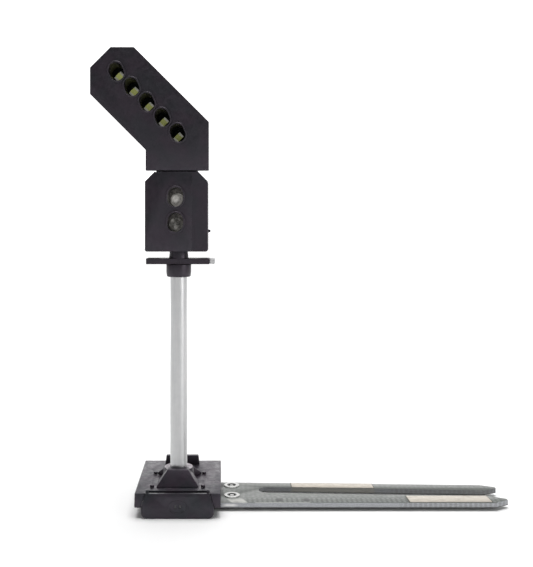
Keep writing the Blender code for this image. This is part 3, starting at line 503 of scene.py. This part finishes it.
def laminate():
    """Circuit board under a thin grey-green lacquer: glass weave, buried copper and bare patches."""
    look = Look("glass_laminate", (0.09, 0.098, 0.09), 0.34)
    x, y, _ = look.axes()
    bundles = []
    for turn in (0, math.pi / 2):
        wave = look.node("ShaderNodeTexWave", bands_direction="X", wave_profile="SIN")
        wave.inputs["Scale"].default_value = 1 / (MESH_PERIOD * MM) / (2 * math.pi) * 2
        wave.inputs["Distortion"].default_value = 0.6
        wave.inputs["Detail"].default_value = 2
        wave.inputs["Detail Scale"].default_value = 2
        look.link(look.coordinates(turn=(0, 0, turn)), wave.inputs["Vector"])
        bundles.append(wave.outputs["Fac"])
    weave = look.maths("MULTIPLY", *bundles)
    mottled = look.mottled(1.2, 5, (0.062, 0.070, 0.064), (0.100, 0.108, 0.098))
    surface = look.mix(look.spread(weave, 0, 0.6, 0.15, 0.7), mottled, (0.145, 0.153, 0.140))

    def band(place, soft_end, soft_side):
        """1 on one of the board's markings."""
        (left, right), (front, back) = place
        across = look.inside(y, front, back, soft_side)
        return look.maths("MULTIPLY", across, look.inside(x, left, right, soft_end))

    squares = look.maths("MULTIPLY", look.squares(x, MESH_PERIOD), look.squares(y, MESH_PERIOD))
    strip = band(FRONT_TRACK, 0.5, 0.12)
    surface = look.over(surface, strip, 0.75, (0.045, 0.055, 0.048))
    surface = look.over(surface, look.maths("MULTIPLY", strip, squares), 0.7, (0.19, 0.2, 0.185))
    surface = look.over(surface, band(REAR_TRACK, 0.4, 0.12), 0.6, (0.05, 0.058, 0.05))
    surface = look.over(surface, band(REAR_COPPER, 0.4, 0.2), 0.4, (0.2, 0.205, 0.19))
    for middle in STAIN_X:
        stain = look.patch(x, y, (middle, -1.9), (0.35, 0.5), 0.4)
        surface = look.over(surface, stain, 0.95, (0.012, 0.014, 0.012))
    # Painted shade: a near-black strip on the board where it meets the base's side wall.
    shade_beside_base = look.patch(x, y, (7.05, 3.0), (0.15, 3.1), 0.2)
    surface = look.over(surface, shade_beside_base, 0.85, (0.012, 0.013, 0.012))
    surface = look.over(surface, band(PALE_EDGE_LINE, 0.3, 0.04), 0.8, (0.42, 0.42, 0.4))
    slanted = look.maths("ADD", x, look.maths("MULTIPLY", y, 0.45))
    patch = look.maths("MULTIPLY", look.inside(slanted, 7.4, 9.6, 0.35), look.inside(y, -3.05, -1.5, 0.5))
    tinned = look.maths("MULTIPLY", patch, look.spread(look.noise(1.6, 3), 0.45, 1, 0.35, 0.6))
    look.colour(look.over(surface, tinned, 0.8, (0.5, 0.5, 0.47)))
    look.link(look.maths("MULTIPLY", tinned, 0.4), look.shader.inputs["Metallic"])
    look.rough(look.spread(look.noise(0.6, 4), 0.3, 0.48, 0.3, 0.7))
    look.bump(weave, 0.012, 0.35)
    look.bump(strip, 0.02, 0.4)
    look.bump(look.noise(0.1, 3), 0.006, 0.3)
    return look.material


def board_edge():
    """The routed edge of the board: torn glass fibre ends, painted shade on the back prong's edges and along
    the bottom, and the half-round plating by the base.
    """
    look = Look("routed_edge", (0.16, 0.16, 0.15), 0.6)
    x, y, z = look.axes()
    fibres = look.noise(0.12, 5, (0.5, 0.5, 2.2), 0.7)
    layers = look.noise(0.5, 3, (0.6, 0.6, 4))
    base = look.mix(look.spread(layers, 0, 1, 0.35, 0.65), (0.26, 0.272, 0.29), (0.4, 0.415, 0.44))
    fibres_and_shade = look.mix(look.spread(fibres, 0, 1, 0.42, 0.66), base, (0.5, 0.51, 0.53))
    # Painted shade: the back prong's edges, which face the shaded slot, are darkened.
    slot_shade = look.spread(y, 0, 0.72, 1.0 * MM, 2.6 * MM)
    fibres_and_shade = look.mix(slot_shade, fibres_and_shade, (0.055, 0.057, 0.055))
    under_pad = look.maths("MULTIPLY", slot_shade, look.inside(x, 19.0, 32.5, 0.4))
    fibres_and_shade = look.over(fibres_and_shade, under_pad, 0.7, (0.2, 0.19, 0.15))
    far = look.maths("MULTIPLY", look.inside(x, 36.5, 54.0, 1.5), look.squares(x, MESH_PERIOD))
    fibres_and_shade = look.over(fibres_and_shade, far, 0.3, (0.09, 0.085, 0.075))
    # Painted shade: a near-black line along the bottom of the edge.
    low = look.spread(z, 1, 0, 0.56 * MM, 0.68 * MM)
    fibres_and_shade = look.over(fibres_and_shade, low, 0.9, (0.01, 0.01, 0.01))
    plating = look.maths("MULTIPLY", look.inside(x, 7.9, 8.9, 0.9), look.inside(z, 0.85, 1.02, 0.16))
    look.colour(look.mix(plating, fibres_and_shade, (0.82, 0.82, 0.8)))
    look.bump(fibres, 0.04, 0.8)
    return look.material


def plated(name, colour, scratch, roughness=0.32, metallic=0.85):
    """Bare plated copper: pale metal with small dents, stains and rail scratches."""
    look = Look(name, colour, roughness, metallic)
    scratches = look.noise(0.09, 3, (0.08, 1, 1))
    stained = look.mottled(1.1, 5, colour, tuple(c * 0.8 for c in colour), 0.35, 0.72)
    look.colour(look.mix(look.spread(scratches, 0, 0.6, 0.5, 0.7), stained, scratch))
    look.rough(look.spread(look.noise(0.4, 4), roughness - 0.08, roughness + 0.14, 0.3, 0.7))
    look.bump(look.noise(0.35, 4), 0.012, 0.5)
    return look.material


def pad_metal(ends):
    """The contact pads: plated metal, with a dark border at each end of both."""
    look = Look("contact_gold", (0.5, 0.455, 0.39), 0.36, 0.8)
    x = look.axes()[0]
    scratches = look.spread(look.noise(0.09, 3, (0.06, 1, 1)), 0, 0.55, 0.5, 0.7)
    stained = look.mottled(1.3, 5, (0.5, 0.455, 0.39), (0.39, 0.35, 0.3), 0.38, 0.72)
    surface = look.mix(scratches, stained, (0.57, 0.545, 0.49))
    for low, high in ends:
        for edge in (low, high):
            surface = look.mix(look.inside(x, edge - 0.12, edge + 0.12, 0.06), surface, (0.1, 0.09, 0.07))
    look.colour(surface)
    look.rough(look.spread(look.noise(0.4, 4), 0.28, 0.5, 0.3, 0.7))
    look.bump(look.noise(0.35, 4), 0.012, 0.5)
    look.bump(scratches, 0.006, 0.4)
    return look.material


def eyelet_metal(centres):
    """Tinned rings, with painted shade in the groove round the solder: a near-black ring."""
    look = Look("tinned_eyelet", (0.5, 0.5, 0.49), 0.34, 0.85)
    x, y, _ = look.axes()
    surface = look.mottled(0.5, 4, (0.52, 0.52, 0.51), (0.4, 0.4, 0.39))
    for centre in centres:
        # Painted shade: the groove round the solder is painted near-black.
        groove = look.inside(look.distance(x, y, centre), 0.42, 0.74, 0.07)
        surface = look.mix(groove, surface, (0.015, 0.014, 0.013))
    look.colour(surface)
    look.bump(look.noise(0.3, 4), 0.012, 0.5)
    return look.material


def pale_plastic():
    look = Look("pale_tip", (0.5, 0.5, 0.505), 0.5)
    look.colour(look.mottled(0.4, 5, (0.43, 0.43, 0.44), (0.56, 0.56, 0.56)))
    look.bump(look.noise(0.12, 3), 0.012, 0.5)
    return look.material


def phosphor():
    """The yellow filling; its faint glow stands in for daylight deep in the tubes."""
    look = Look("phosphor", (0.62, 0.64, 0.14), 0.45)
    look.colour(look.mottled(0.12, 4, (0.56, 0.58, 0.16), (0.72, 0.74, 0.3)))
    look.shader.inputs["Emission Color"].default_value = (0.8, 0.86, 0.28, 1)
    height = look.axes()[2]
    low, high = FILLING_GLOW_Z
    strength = look.spread(height, *FILLING_GLOW, low * MM, high * MM)
    look.link(strength, look.shader.inputs["Emission Strength"])
    look.bump(look.noise(0.08, 2), 0.01, 0.4)
    return look.material


def lamp_ends():
    """A flat lamp's pale ends, with the same stand-in glow as its filling."""
    look = Look("lamp_ends", (0.75, 0.75, 0.7), 0.4, 0.2, Emission_Strength=ENDS_GLOW)
    look.shader.inputs["Emission Color"].default_value = (0.9, 0.9, 0.76, 1)
    look.colour(look.mottled(0.15, 4, (0.62, 0.62, 0.56), (0.85, 0.85, 0.8)))
    look.bump(look.noise(0.1, 2), 0.01, 0.4)
    return look.material


def lamp_resin(name, painted_glints, transmission, plain):
    """Cast resin with flow lines, a painted highlight at each glint spot, and a glow for the light that it
    gathers.
    """
    look = Look(name, (0.5, 0.49, 0.46), 0.25, Transmission_Weight=transmission, IOR=1.5)
    x, _, z = look.axes()
    specks_and_glints = look.spread(look.noise(0.55, 5, rough=0.7), plain, plain + 0.35, 0.4, 0.62)
    # Painted highlights where the reflector shines through the resin.
    for place, radius in painted_glints:
        near = look.spot(x, z, place, radius, 0.3)
        specks_and_glints = look.maths("ADD", specks_and_glints, look.maths("MULTIPLY", near, 0.5))
    light = look.spread(specks_and_glints, 0, 1, 0.25, 1.3)
    look.colour(look.mix(light, (0.12, 0.115, 0.105), (0.8, 0.78, 0.74)))
    look.link(look.mix(light, (0.25, 0.24, 0.22), (1.0, 0.97, 0.92)), look.shader.inputs["Emission Color"])
    look.link(look.spread(light, *RESIN_GLOW), look.shader.inputs["Emission Strength"])
    look.rough(look.spread(look.noise(0.35, 3), 0.16, 0.34, 0.35, 0.7))
    look.bump(look.noise(0.45, 3), 0.01, 0.3)
    return look.material


def head_board():
    """The head's lamp board: mottled solder mask, with a glow for light scattered by the lamps."""
    look = Look("head_board", (0.03, 0.028, 0.025), 0.5, Emission_Strength=HEAD_BOARD_GLOW)
    mottle = look.spread(look.noise(0.5, 5, rough=0.65), 0, 1, 0.38, 0.66)
    look.colour(look.mix(mottle, (0.012, 0.011, 0.01), (0.12, 0.11, 0.1)))
    look.link(look.mix(mottle, (0.2, 0.18, 0.17), (1.0, 0.93, 0.85)), look.shader.inputs["Emission Color"])
    look.bump(mottle, 0.02, 0.5)
    return look.material


def epoxy(name, colour, roughness):
    """Moulded chip body."""
    look = Look(name, colour, roughness)
    look.colour(look.mottled(0.2, 5, colour, tuple(1.7 * c for c in colour)))
    look.bump(look.noise(0.07, 3), 0.008, 0.6)
    return look.material


def lamp_board():
    look = Look("lamp_board", (0.004, 0.005, 0.005), 0.75, Specular_IOR_Level=0.15)
    copper = look.spread(look.noise(1.4, 1), 0, 1, 0.5, 0.53)
    look.colour(look.mix(copper, (0.003, 0.004, 0.0035), (0.006, 0.008, 0.007)))
    look.bump(copper, 0.02, 0.5)
    return look.material


def enamel(name, colour):
    look = Look(name, colour, 0.3)
    look.colour(look.mottled(0.6, 4, colour, tuple(0.7 * c for c in colour), 0.3))
    look.bump(look.noise(0.08, 2), 0.004, 0.4)
    return look.material


# ---------------------------------------------------------------- base


def make_base(black, tub_black):
    placed(refined("base_tub", 0.05), tub_black, "black_moulding", "base_tub")
    placed(refined("base_cover", 0.05), black, "black_moulding", "base_cover")
    for number in range(1, 5):
        node = f"foot_bolt_{number}"
        low, high = node_box(node)
        middle = (low + high) / 2
        width = (high.y - low.y) / 2
        head = high.z - BOLT_HEAD
        outline = arc((middle.x, middle.y), width, 30, 330, 5)
        bolt = rounded(prism(f"hex_bolt_{number}", outline, head, high.z, "XY"), 0.05, 2)
        placed(smooth(bolt), black, "black_moulding", node)


def make_bezel(black):
    """The oval in the front wall: its rim stands a little proud of its middle."""
    low, high = node_box("sensor_bezel")
    middle, half = (low + high) / 2, (high - low) / 2
    turns = [2 * math.pi * i / ROUND for i in range(ROUND)]

    def outline(width):
        return [
            (middle.x + (half.x - width) * math.cos(t), middle.z + (half.z - width) * math.sin(t))
            for t in turns
        ]

    plate = rounded(prism("bezel_plate", outline(-0.022), low.y - BEZEL_PROUD, high.y), 0.03, 2)
    recess = prism("bezel_recess", outline(BEZEL_RIM), low.y - 1, low.y - BEZEL_RECESS)
    across, along = BEZEL_SLOT_HALF
    slots = []
    for node in ("infrared_emitter", "infrared_detector"):
        nose_low, nose_high = node_box(node)
        centre = (nose_low.x + nose_high.x) / 2
        slot_low = (centre - across, low.y - 1, middle.z - along)
        slots.append(block("slot", slot_low, (centre + across, high.y + 1, middle.z + along)))
    bezel = boolean(boolean(plate, [recess], "DIFFERENCE"), slots, "DIFFERENCE")
    bezel.name = "sensor_bezel_rimmed"
    placed(smooth(bezel), black, "black_moulding", "sensor_bezel")


def make_slider(black):
    low, high = node_box("override_slider")
    middle = (low.x + high.x) / 2
    in_x, in_y = SLIDER_TAPER
    top = [(low.x + in_x, low.y + in_y), (high.x - in_x, high.y - in_y)]
    body = rounded(tapered("relay_box", (low.x, low.y, SLIDER_BOTTOM), (high.x, high.y, high.z), *top), 0.12)
    front, back = SLIDER_STEM_Y
    stem_high = (middle + SLIDER_STEM_HALF, back, SLIDER_BOTTOM + 0.4)
    stem = block("stem", (middle - SLIDER_STEM_HALF, front, low.z), stem_high)
    slider = boolean(body, [stem], "UNION")
    slider.name = "override_slider_box"
    placed(smooth(slider), black, "black_moulding", "override_slider", body="slider")


def make_foot(black):
    """A round boss, leaned on by a broad buttress in front and by two ribs behind."""
    low, high = node_box("mast_foot")
    bore_radius = node_box("mast_tube")[1].x + GAP
    wide = BOSS_RADIUS + BOSS_FLARE
    profile = [(bore_radius, BOSS_TOP), (BOSS_RADIUS - 0.12, BOSS_TOP), (BOSS_RADIUS, BOSS_TOP - 0.12)]
    profile += [(wide, low.z), (bore_radius, low.z)]
    boss = lathe("mast_foot_cast", profile)
    foot_low, foot_high = (-FOOT_HALF, low.y, low.z), (FOOT_HALF, -FOOT_INNER_DEPTH, high.z)
    top = [(-FOOT_TOP_HALF, -FOOT_TOP_DEPTH), (FOOT_TOP_HALF, -FOOT_INNER_DEPTH)]
    added = [rounded(tapered("buttress", foot_low, foot_high, *top), 0.14)]
    rib_top = BOSS_TOP - 0.1
    side = [(RIB_START, low.z), (RIB_REACH, low.z), (RIB_REACH, low.z + RIB_END_HEIGHT)]
    side += [(BOSS_RADIUS - 0.3, rib_top), (RIB_START, rib_top)]
    for angle in (RIB_ANGLE, 180 - RIB_ANGLE):
        rib = rounded(prism("rib", side, -RIB_THICK / 2, RIB_THICK / 2), 0.1)
        rib.data.transform(Matrix.Rotation(math.radians(angle), 4, "Z"))
        added.append(rib)
    bore = rod("foot_bore", bore_radius, 3, 9)
    foot = boolean(boolean(boss, added, "UNION"), [bore], "DIFFERENCE")
    placed(smooth(foot), black, "black_moulding", "mast_foot")


def make_tube(metal):
    low, high = node_box("mast_tube")
    radius, lip = high.x, 0.06
    profile = [
        (radius - lip, high.z),
        (radius, high.z - lip),
        (radius, low.z + lip),
        (radius - lip, low.z),
        (TUBE_BORE, low.z),
        (TUBE_BORE, high.z),
    ]
    placed(smooth(lathe("mast_tube_drawn", profile, sides=128)), metal, "mast_metal", "mast_tube")


def make_collar(black):
    low, high = node_box("mast_collar")
    tube = node_box("mast_tube")[1]
    deck_low, deck_high = node_box("platform")
    shoulder = deck_low.z - GAP
    reach, draft, top_round, low_round = high.x, 0.07, 0.1, 0.25
    profile = [(NECK_TOP_RADIUS - 0.07, high.z), (NECK_TOP_RADIUS, high.z - 0.07)]
    profile += [(NECK_RADIUS, deck_high.z + 0.05), (NECK_RADIUS, shoulder)]
    profile += arc((reach - top_round, shoulder - top_round), top_round, 90, 0, 3)
    profile += [(reach, low.z + 0.7)]
    profile += arc((reach - draft - low_round, low.z + low_round), low_round, 0, -90, 5)
    profile += [(tube.x + GAP, low.z), (tube.x + GAP, tube.z + GAP)]
    profile += [(NECK_BORE, tube.z + GAP), (NECK_BORE, high.z)]
    placed(smooth(lathe("mast_collar_turned", profile)), black, "black_moulding", "mast_collar")


def make_platform(black, pale):
    placed(refined("platform", 0.05), black, "black_moulding", "platform")
    placed(refined("platform_end_tip", 0.04), pale, "pale_tip", "platform_end_tip")


# ---------------------------------------------------------------- contact board


def make_board(face, edge):
    board = refined("contact_fork", 0.03, "contact_board", 2)
    placed(board, face, "laminate", "contact_fork")
    board.data.materials.append(edge)
    for polygon in board.data.polygons:
        if abs(polygon.normal.z) < 0.5:
            polygon.material_index = 1


def make_pads(gold):
    for node in PADS:
        placed(refined(node, 0.02, node + "_plated", 2), gold, "contact_metal", node)


def make_eyelets(metal):
    """Turned rings with a sunk groove round the solder that fills them."""
    for node in EYELETS:
        low, high = node_box(node)
        middle = (low + high) / 2
        radius, flange = high.x - middle.x, high.z - 0.1
        profile = [(ON_AXIS, flange + 0.06), (0.2, flange + 0.055), (0.34, flange + 0.02)]
        profile += [(0.4, flange - 0.15), (0.47, flange - 0.15), (0.54, flange + 0.03), (0.8, flange + 0.09)]
        profile += arc((radius - 0.1, flange), 0.1, 90, 0, 4)
        profile += [(0.52, flange), (0.52, low.z), (ON_AXIS, low.z)]
        ring = lathe(node + "_filled", profile, middle=(middle.x, middle.y, 0))
        placed(smooth(ring), metal, "tinned_metal", node)


# ---------------------------------------------------------------- heads


def oval(middle, stretch, radius):
    """Points round a slot-like oval, with each point's direction from its own end of the slot."""
    (upper_x, upper_z), (lower_x, lower_z) = stretch
    tilt = math.atan2(upper_z - lower_z, upper_x - lower_x)
    points = []
    for turn in range(ROUND):
        angle = tilt + 2 * math.pi * (turn + 0.5) / ROUND
        end = stretch[0] if math.cos(angle - tilt) > 0 else stretch[1]
        x = middle[0] + end[0] + radius * math.cos(angle)
        points.append((x, middle[1] + end[1] + radius * math.sin(angle)))
    return points


def hood(middle, stretch, radius):
    """A rounded rim that stands proud at the upper right and dies away at the lower left."""
    shape = bmesh.new()
    inner, outer, lip = radius - 0.015, radius + HOOD_WALL, 0.06
    reach = (outer + math.hypot(*stretch[0])) * math.sqrt(2)
    section = [(inner, None), (inner, lip), (inner + lip, 0), (outer - lip, 0), (outer, lip), (outer, None)]
    loops = []
    for radial, back in section:
        loop = []
        for x, z in oval(middle, stretch, radial):
            share = (x - middle[0] + z - middle[1]) / reach
            front = FACE_Y - 0.02 - HOOD_PROUD * min(1.0, max(0.0, (share + 1) / 2))
            y = FACE_Y + 0.5 if back is None else front + back
            loop.append(shape.verts.new(Vector((x, y, z)) * MM))
        loops.append(loop)
    for i, loop in enumerate(loops):
        after = loops[(i + 1) % len(loops)]
        for turn in range(ROUND):
            following = (turn + 1) % ROUND
            shape.faces.new((loop[turn], loop[following], after[following], after[turn]))
    return mesh_object("hood", shape)


def pin(middle, stretch, radius, front, back):
    """An oval bar along Y."""
    return prism("pin", oval(middle, stretch, radius), front, back)


def hollowed(shell, outline, lights, stretch, bore):
    """Cuts the space behind the face and leaves a barrel round each light; then bores the lights."""
    space = prism("space", outline, FACE_Y + 1.2, SHELL_BACK + 1)
    barrels = [pin(place, stretch, bore + 0.4, FACE_Y, BARREL_BACK) for place in lights]
    space = boolean(space, barrels, "DIFFERENCE")
    shell = boolean(shell, [space], "DIFFERENCE")
    shell = boolean(shell, [hood(place, stretch, bore) for place in lights], "UNION")
    bores = [pin(place, stretch, bore - 0.01, FACE_Y - 2, SHELL_BACK + 2) for place in lights]
    return boolean(shell, bores, "DIFFERENCE")


def head_outline(turn=0.0):
    low, high = node_box("head_back_cover")
    outline = [(low.x, low.z), (high.x, low.z)]
    if turn:
        outline = arc((low.x + turn, low.z + turn), turn, 180, 270, 5)
        outline += arc((high.x - turn, low.z + turn), turn, -90, 0, 5)
    outline += [
        (high.x, high.z - HEAD_CHAMFER),
        (high.x - HEAD_CHAMFER, high.z),
        (low.x + HEAD_CHAMFER, high.z),
        (low.x, high.z - HEAD_CHAMFER),
    ]
    return outline


def spigot_block(name, grown, heights):
    """A block over the outline of the indicator's spigot, grown by a width."""
    low = (SPIGOT_X[0] - grown, SPIGOT_Y[0] - grown, heights[0])
    high = (SPIGOT_X[1] + grown, SPIGOT_Y[1] + grown, heights[1])
    return block(name, low, high)


def make_head(black):
    shell = rounded(prism("signal_head", head_outline(0.35), FACE_Y, SHELL_BACK), 0.09)
    shell = hollowed(shell, inset(head_outline(), SHELL_WALL), HEAD_LIGHTS, LIGHT_STRETCH, LIGHT_BORE)
    low, high = node_box("head_back_cover")
    strip = block("strip", (SEAM_X, FACE_Y - 1, low.z - 1), (high.x + 1, FACE_Y + SEAM_DEPTH, high.z + 1))
    shell = boolean(shell, [strip], "DIFFERENCE")
    profile = [(ON_AXIS, 0), (NUB_RADIUS, 0), (NUB_RADIUS - 0.02, NUB_LENGTH - 0.08)]
    profile += [(NUB_RADIUS - 0.12, NUB_LENGTH), (ON_AXIS, NUB_LENGTH)]
    nub = lathe("nub", profile, sides=24)
    nub.rotation_euler = (0, math.pi / 2, 0)
    nub.location = Vector((high.x - 0.3, *NUB_PLACE)) * MM
    shell = boolean(shell, [nub], "UNION")
    ways = [rod("neck_way", NECK_BORE, 40, 43), spigot_block("spigot_way", GAP, SPIGOT_WAY_Z)]
    shell = boolean(shell, ways, "DIFFERENCE")
    shell.name = "signal_head_shell"
    placed(smooth(shell), black, "black_moulding", "head_shell")
    placed(refined("head_back_cover", 0.05), black, "black_moulding", "head_back_cover")


def feather_outline():
    low, high = node_box("feather_shell")
    return [
        (FEATHER_LOW_LEFT, FEATHER_BOTTOM),
        (high.x, FEATHER_BOTTOM),
        (high.x, FEATHER_SHOULDER_Z),
        (FEATHER_CREST_X[1], high.z),
        (FEATHER_CREST_X[0], high.z),
        (low.x, FEATHER_SIDE_Z[1]),
        (low.x, FEATHER_SIDE_Z[0]),
        (FEATHER_LOW_LEFT, FEATHER_ELBOW_Z),
    ]


def feather_lights(drop=0.0):
    x, z = FIRST_LIGHT
    return [(x + LIGHT_STEP * i, z - (LIGHT_STEP + drop) * i) for i in range(5)]


def make_feather(black):
    outline = feather_outline()
    plate = rounded(prism("route_indicator", outline, FACE_Y, PLATE_BACK), 0.09)
    housing = rounded(prism("housing", inset(outline, HOUSING_INSET), PLATE_BACK - 0.4, SHELL_BACK), 0.06)
    shell = boolean(plate, [housing, spigot_block("spigot", 0, SPIGOT_Z)], "UNION")
    inner = inset(outline, HOUSING_INSET + SHELL_WALL)
    shell = hollowed(shell, inner, feather_lights(), FEATHER_STRETCH, FEATHER_BORE)
    shell = boolean(shell, [spigot_block("lead_way", -SPIGOT_WALL, LEAD_WAY_Z)], "DIFFERENCE")
    shell.name = "route_indicator_shell"
    placed(smooth(shell), black, "black_moulding", "feather_shell")
    placed(refined("feather_back_cover", 0.05), black, "black_moulding", "feather_back_cover")


def make_route_lamps(yellow, ends):
    """Each flat lamp is a stepped bar: pale ends, and the raised yellow filling between them."""
    low, high = node_box("route_led_1")
    front, back, step = low.y, high.y, low.y + FILLING_PROUD
    (long, wide), end = CHIP_LED_HALF, FILLING_HALF
    outline = [(-long, back), (-long, step), (-end, step), (-end + 0.05, front), (end - 0.05, front)]
    outline += [(end, step), (long, step), (long, back)]
    for number, (x, z) in enumerate(feather_lights(LIGHT_DROP), 1):
        lamp = rounded(prism("lamp", outline, -wide, wide, "XY"), 0.035, 2)
        turn = Matrix.Rotation(math.radians(-45), 4, "Y")
        lamp.data.transform(Matrix.Translation(Vector((x, 0, z)) * MM) @ turn)
        lamp.name = f"route_lamp_{number}"
        placed(smooth(lamp), yellow, "phosphor", f"route_led_{number}")
        lamp.data.materials.append(ends)
        back_turn = turn.inverted()
        for polygon in lamp.data.polygons:
            local = back_turn @ (polygon.center - Vector((x, 0, z)) * MM)
            if abs(local.x) > (end + 0.01) * MM:
                polygon.material_index = 1


def make_head_lamps(resins, tin):
    """A cast lens over a reflector cup and a post."""
    for name, resin in zip(("upper", "lower"), resins):
        node = f"head_lamp_{name}"
        low, high = node_box(node)
        middle = (low + high) / 2
        flange = high.x - middle.x
        radius = flange - LAMP_FLANGE
        back, front = high.y, low.y
        step = back - LAMP_FLANGE_THICK
        profile = [(ON_AXIS, back), (flange, back), (flange, step + 0.05), (flange - 0.05, step)]
        profile += [(radius, step)]
        profile += [(r, front + radius - a) for r, a in arc((0, 0), radius, 0, 88, 10)]
        profile[-1] = (ON_AXIS, front)
        lens = lathe(f"lamp_lens_{name}", profile, "Y", (middle.x, 0, middle.z))
        placed(smooth(lens), resin, "clear_resin", node)
        cup = [(0.05, back - 0.1), (0.3, back - 0.1), (0.3, back - 0.75), (0.42, back - 0.95)]
        cup += [(0.36, back - 0.95), (0.18, back - 0.72), (0.05, back - 0.72)]
        frame_cup = lathe(f"lamp_cup_{name}", cup, "Y", (middle.x - 0.22, 0, middle.z), 32)
        placed(smooth(frame_cup), tin, "tinned_metal")
        post_low = (middle.x + 0.25, back - 0.9, middle.z - 0.12)
        post = block(f"lamp_post_{name}", post_low, (middle.x + 0.5, back - 0.1, middle.z + 0.12))
        placed(smooth(rounded(post, 0.04, 2)), tin, "tinned_metal")


def dress_cad_nodes(looks):
    """CAD nodes that stay as they are get a finished material."""
    for look, names in looks:
        for name in names:
            node = nodes[name]
            node.data.materials.clear()
            node.data.materials.append(look)


# ---------------------------------------------------------------- stage, light and camera


def make_stage():
    floor = new_object("floor", bpy.data.meshes.new("floor"))
    shape = bmesh.new()
    bmesh.ops.create_grid(shape, x_segments=1, y_segments=1, size=1.5)
    shape.to_mesh(floor.data)
    shape.free()
    look = Look("floor_white", (0.93, 0.93, 0.93), 0.9)
    look.colour(look.mix(look.noise(40, 2), (0.92, 0.92, 0.92), (0.94, 0.94, 0.94)))
    look.shader.inputs["Emission Color"].default_value = (1, 1, 1, 1)
    away = look.node("ShaderNodeVectorMath", operation="LENGTH")
    look.link(look.place.outputs["Object"], away.inputs[0])
    glow = look.spread(away.outputs["Value"], 0.0, FLOOR_GLOW, FLOOR_GLOW_FROM * MM, FLOOR_GLOW_TO * MM)
    look.link(glow, look.shader.inputs["Emission Strength"])
    floor.data.materials.append(look.material)


def make_world():
    """A white room: a bright backdrop behind the object, a dim ceiling, grey walls elsewhere."""
    world = bpy.data.worlds.new("studio")
    bpy.context.scene.world = world
    world.use_nodes = True
    tree = world.node_tree
    place = tree.nodes.new("ShaderNodeTexCoord")
    split = tree.nodes.new("ShaderNodeSeparateXYZ")
    tree.links.new(place.outputs["Generated"], split.inputs["Vector"])

    def ranged(value, start, end, low, high):
        made = tree.nodes.new("ShaderNodeMapRange")
        for socket, number in zip(("From Min", "From Max", "To Min", "To Max"), (start, end, low, high)):
            made.inputs[socket].default_value = number
        tree.links.new(value, made.inputs["Value"])
        return made.outputs["Result"]

    def times(first, second):
        made = tree.nodes.new("ShaderNodeMath")
        made.operation = "MULTIPLY"
        tree.links.new(first, made.inputs[0])
        tree.links.new(second, made.inputs[1])
        return made.outputs["Value"]

    walls = ranged(split.outputs["Y"], 0.5, 0.88, WALL_LIGHT, BACKDROP_LIGHT)
    ceiling = ranged(split.outputs["Z"], 0.6, 0.8, 1.0, CEILING_SHARE)
    tree.links.new(times(walls, ceiling), tree.nodes["Background"].inputs["Strength"])
    tree.nodes["Background"].inputs["Color"].default_value = (1, 1, 1, 1)


def area_light(name, place, target, size, watts):
    lamp = bpy.data.lights.new(name, "AREA")
    lamp.shape = "DISK"
    lamp.size = size
    lamp.energy = watts
    obj = bpy.data.objects.new(name, lamp)
    bpy.context.scene.collection.objects.link(obj)
    obj.location = Vector(place) * MM
    aim = (Vector(target) - Vector(place)).to_track_quat("-Z", "Y")
    obj.rotation_euler = aim.to_euler()
    return obj


def make_lights():
    area_light("overhead", (20, 30, 420), (10, 0, 0), 0.34, 1.9)
    area_light("window", (240, -175, 80), (0, 0, 45), 0.12, 0.16)


def make_camera():
    """The photograph's place: level, straight ahead, its frame shifted as the picture was cropped."""
    camera = bpy.data.cameras.new("camera")
    camera.sensor_width = 36
    camera.sensor_height = 36
    camera.lens = CAMERA_LENS
    camera.shift_x, camera.shift_y = CAMERA_SHIFT
    camera.clip_start = 0.01
    camera.clip_end = 20
    obj = bpy.data.objects.new("camera", camera)
    bpy.context.scene.collection.objects.link(obj)
    obj.location = Vector(CAMERA_PLACE) * MM
    obj.rotation_euler = (math.pi / 2, 0, 0)
    bpy.context.scene.camera = obj


black = black_moulding()
metal = drawn_aluminium()
gold = pad_metal([(low.x, high.x) for low, high in map(node_box, PADS)])
eyelet_centres = [((low.x + high.x) / 2, (low.y + high.y) / 2) for low, high in map(node_box, EYELETS)]
tin = plated("tinned", (0.52, 0.52, 0.51), (0.66, 0.66, 0.66), 0.3)

make_camera()
# The tub, cover and foot take lighter copies of the black moulding: painted light, standing in for the
# backdrop and floor that their faces reflect; the tub's cooler tint is its own tone.
tub_black = black_moulding("black_tub", 1.5, tint=(0.98, 0.95, 1.08))
make_base(black_moulding("black_cover", 1.8), tub_black)
make_bezel(tub_black)
make_slider(black)
# The foot's copy is painted lighter, and its boss top carries a painted highlight.
make_foot(black_moulding("black_foot", 1.8, painted_top_sheen=True))
make_tube(metal)
make_collar(black)
make_platform(black, pale_plastic())
make_board(laminate(), board_edge())
make_pads(gold)
make_eyelets(eyelet_metal(eyelet_centres))
make_head(black)
make_feather(black)
make_route_lamps(phosphor(), lamp_ends())
upper_resin = lamp_resin("milky_resin", UPPER_GLINTS, 0.2, 0.5)
lower_resin = lamp_resin("clear_resin", LOWER_GLINTS, 0.35, 0.25)
make_head_lamps((upper_resin, lower_resin), tin)
chip = epoxy("chip_epoxy", (0.016, 0.016, 0.017), 0.45)
dress_cad_nodes(
    [
        (chip, ["microcontroller", "bridge_rectifier", "supply_resistor"]),
        (epoxy("ceramic_body", (0.33, 0.24, 0.16), 0.4), ["smoothing_capacitor"]),
        (epoxy("sensor_face", (0.05, 0.05, 0.055), 0.35), ["infrared_emitter", "infrared_detector"]),
        (tin, ["slide_switch_body"]),
        (lamp_board(), ["feather_led_board"]),
        (head_board(), ["head_led_board"]),
        (enamel("enamel_red", (0.35, 0.05, 0.03)), ["lead_red", "lead_common"]),
        (enamel("enamel_green", (0.04, 0.2, 0.07)), ["lead_green", "lead_route"]),
    ]
)
make_stage()
make_world()
make_lights()
bpy.context.scene.view_settings.view_transform = "Standard"
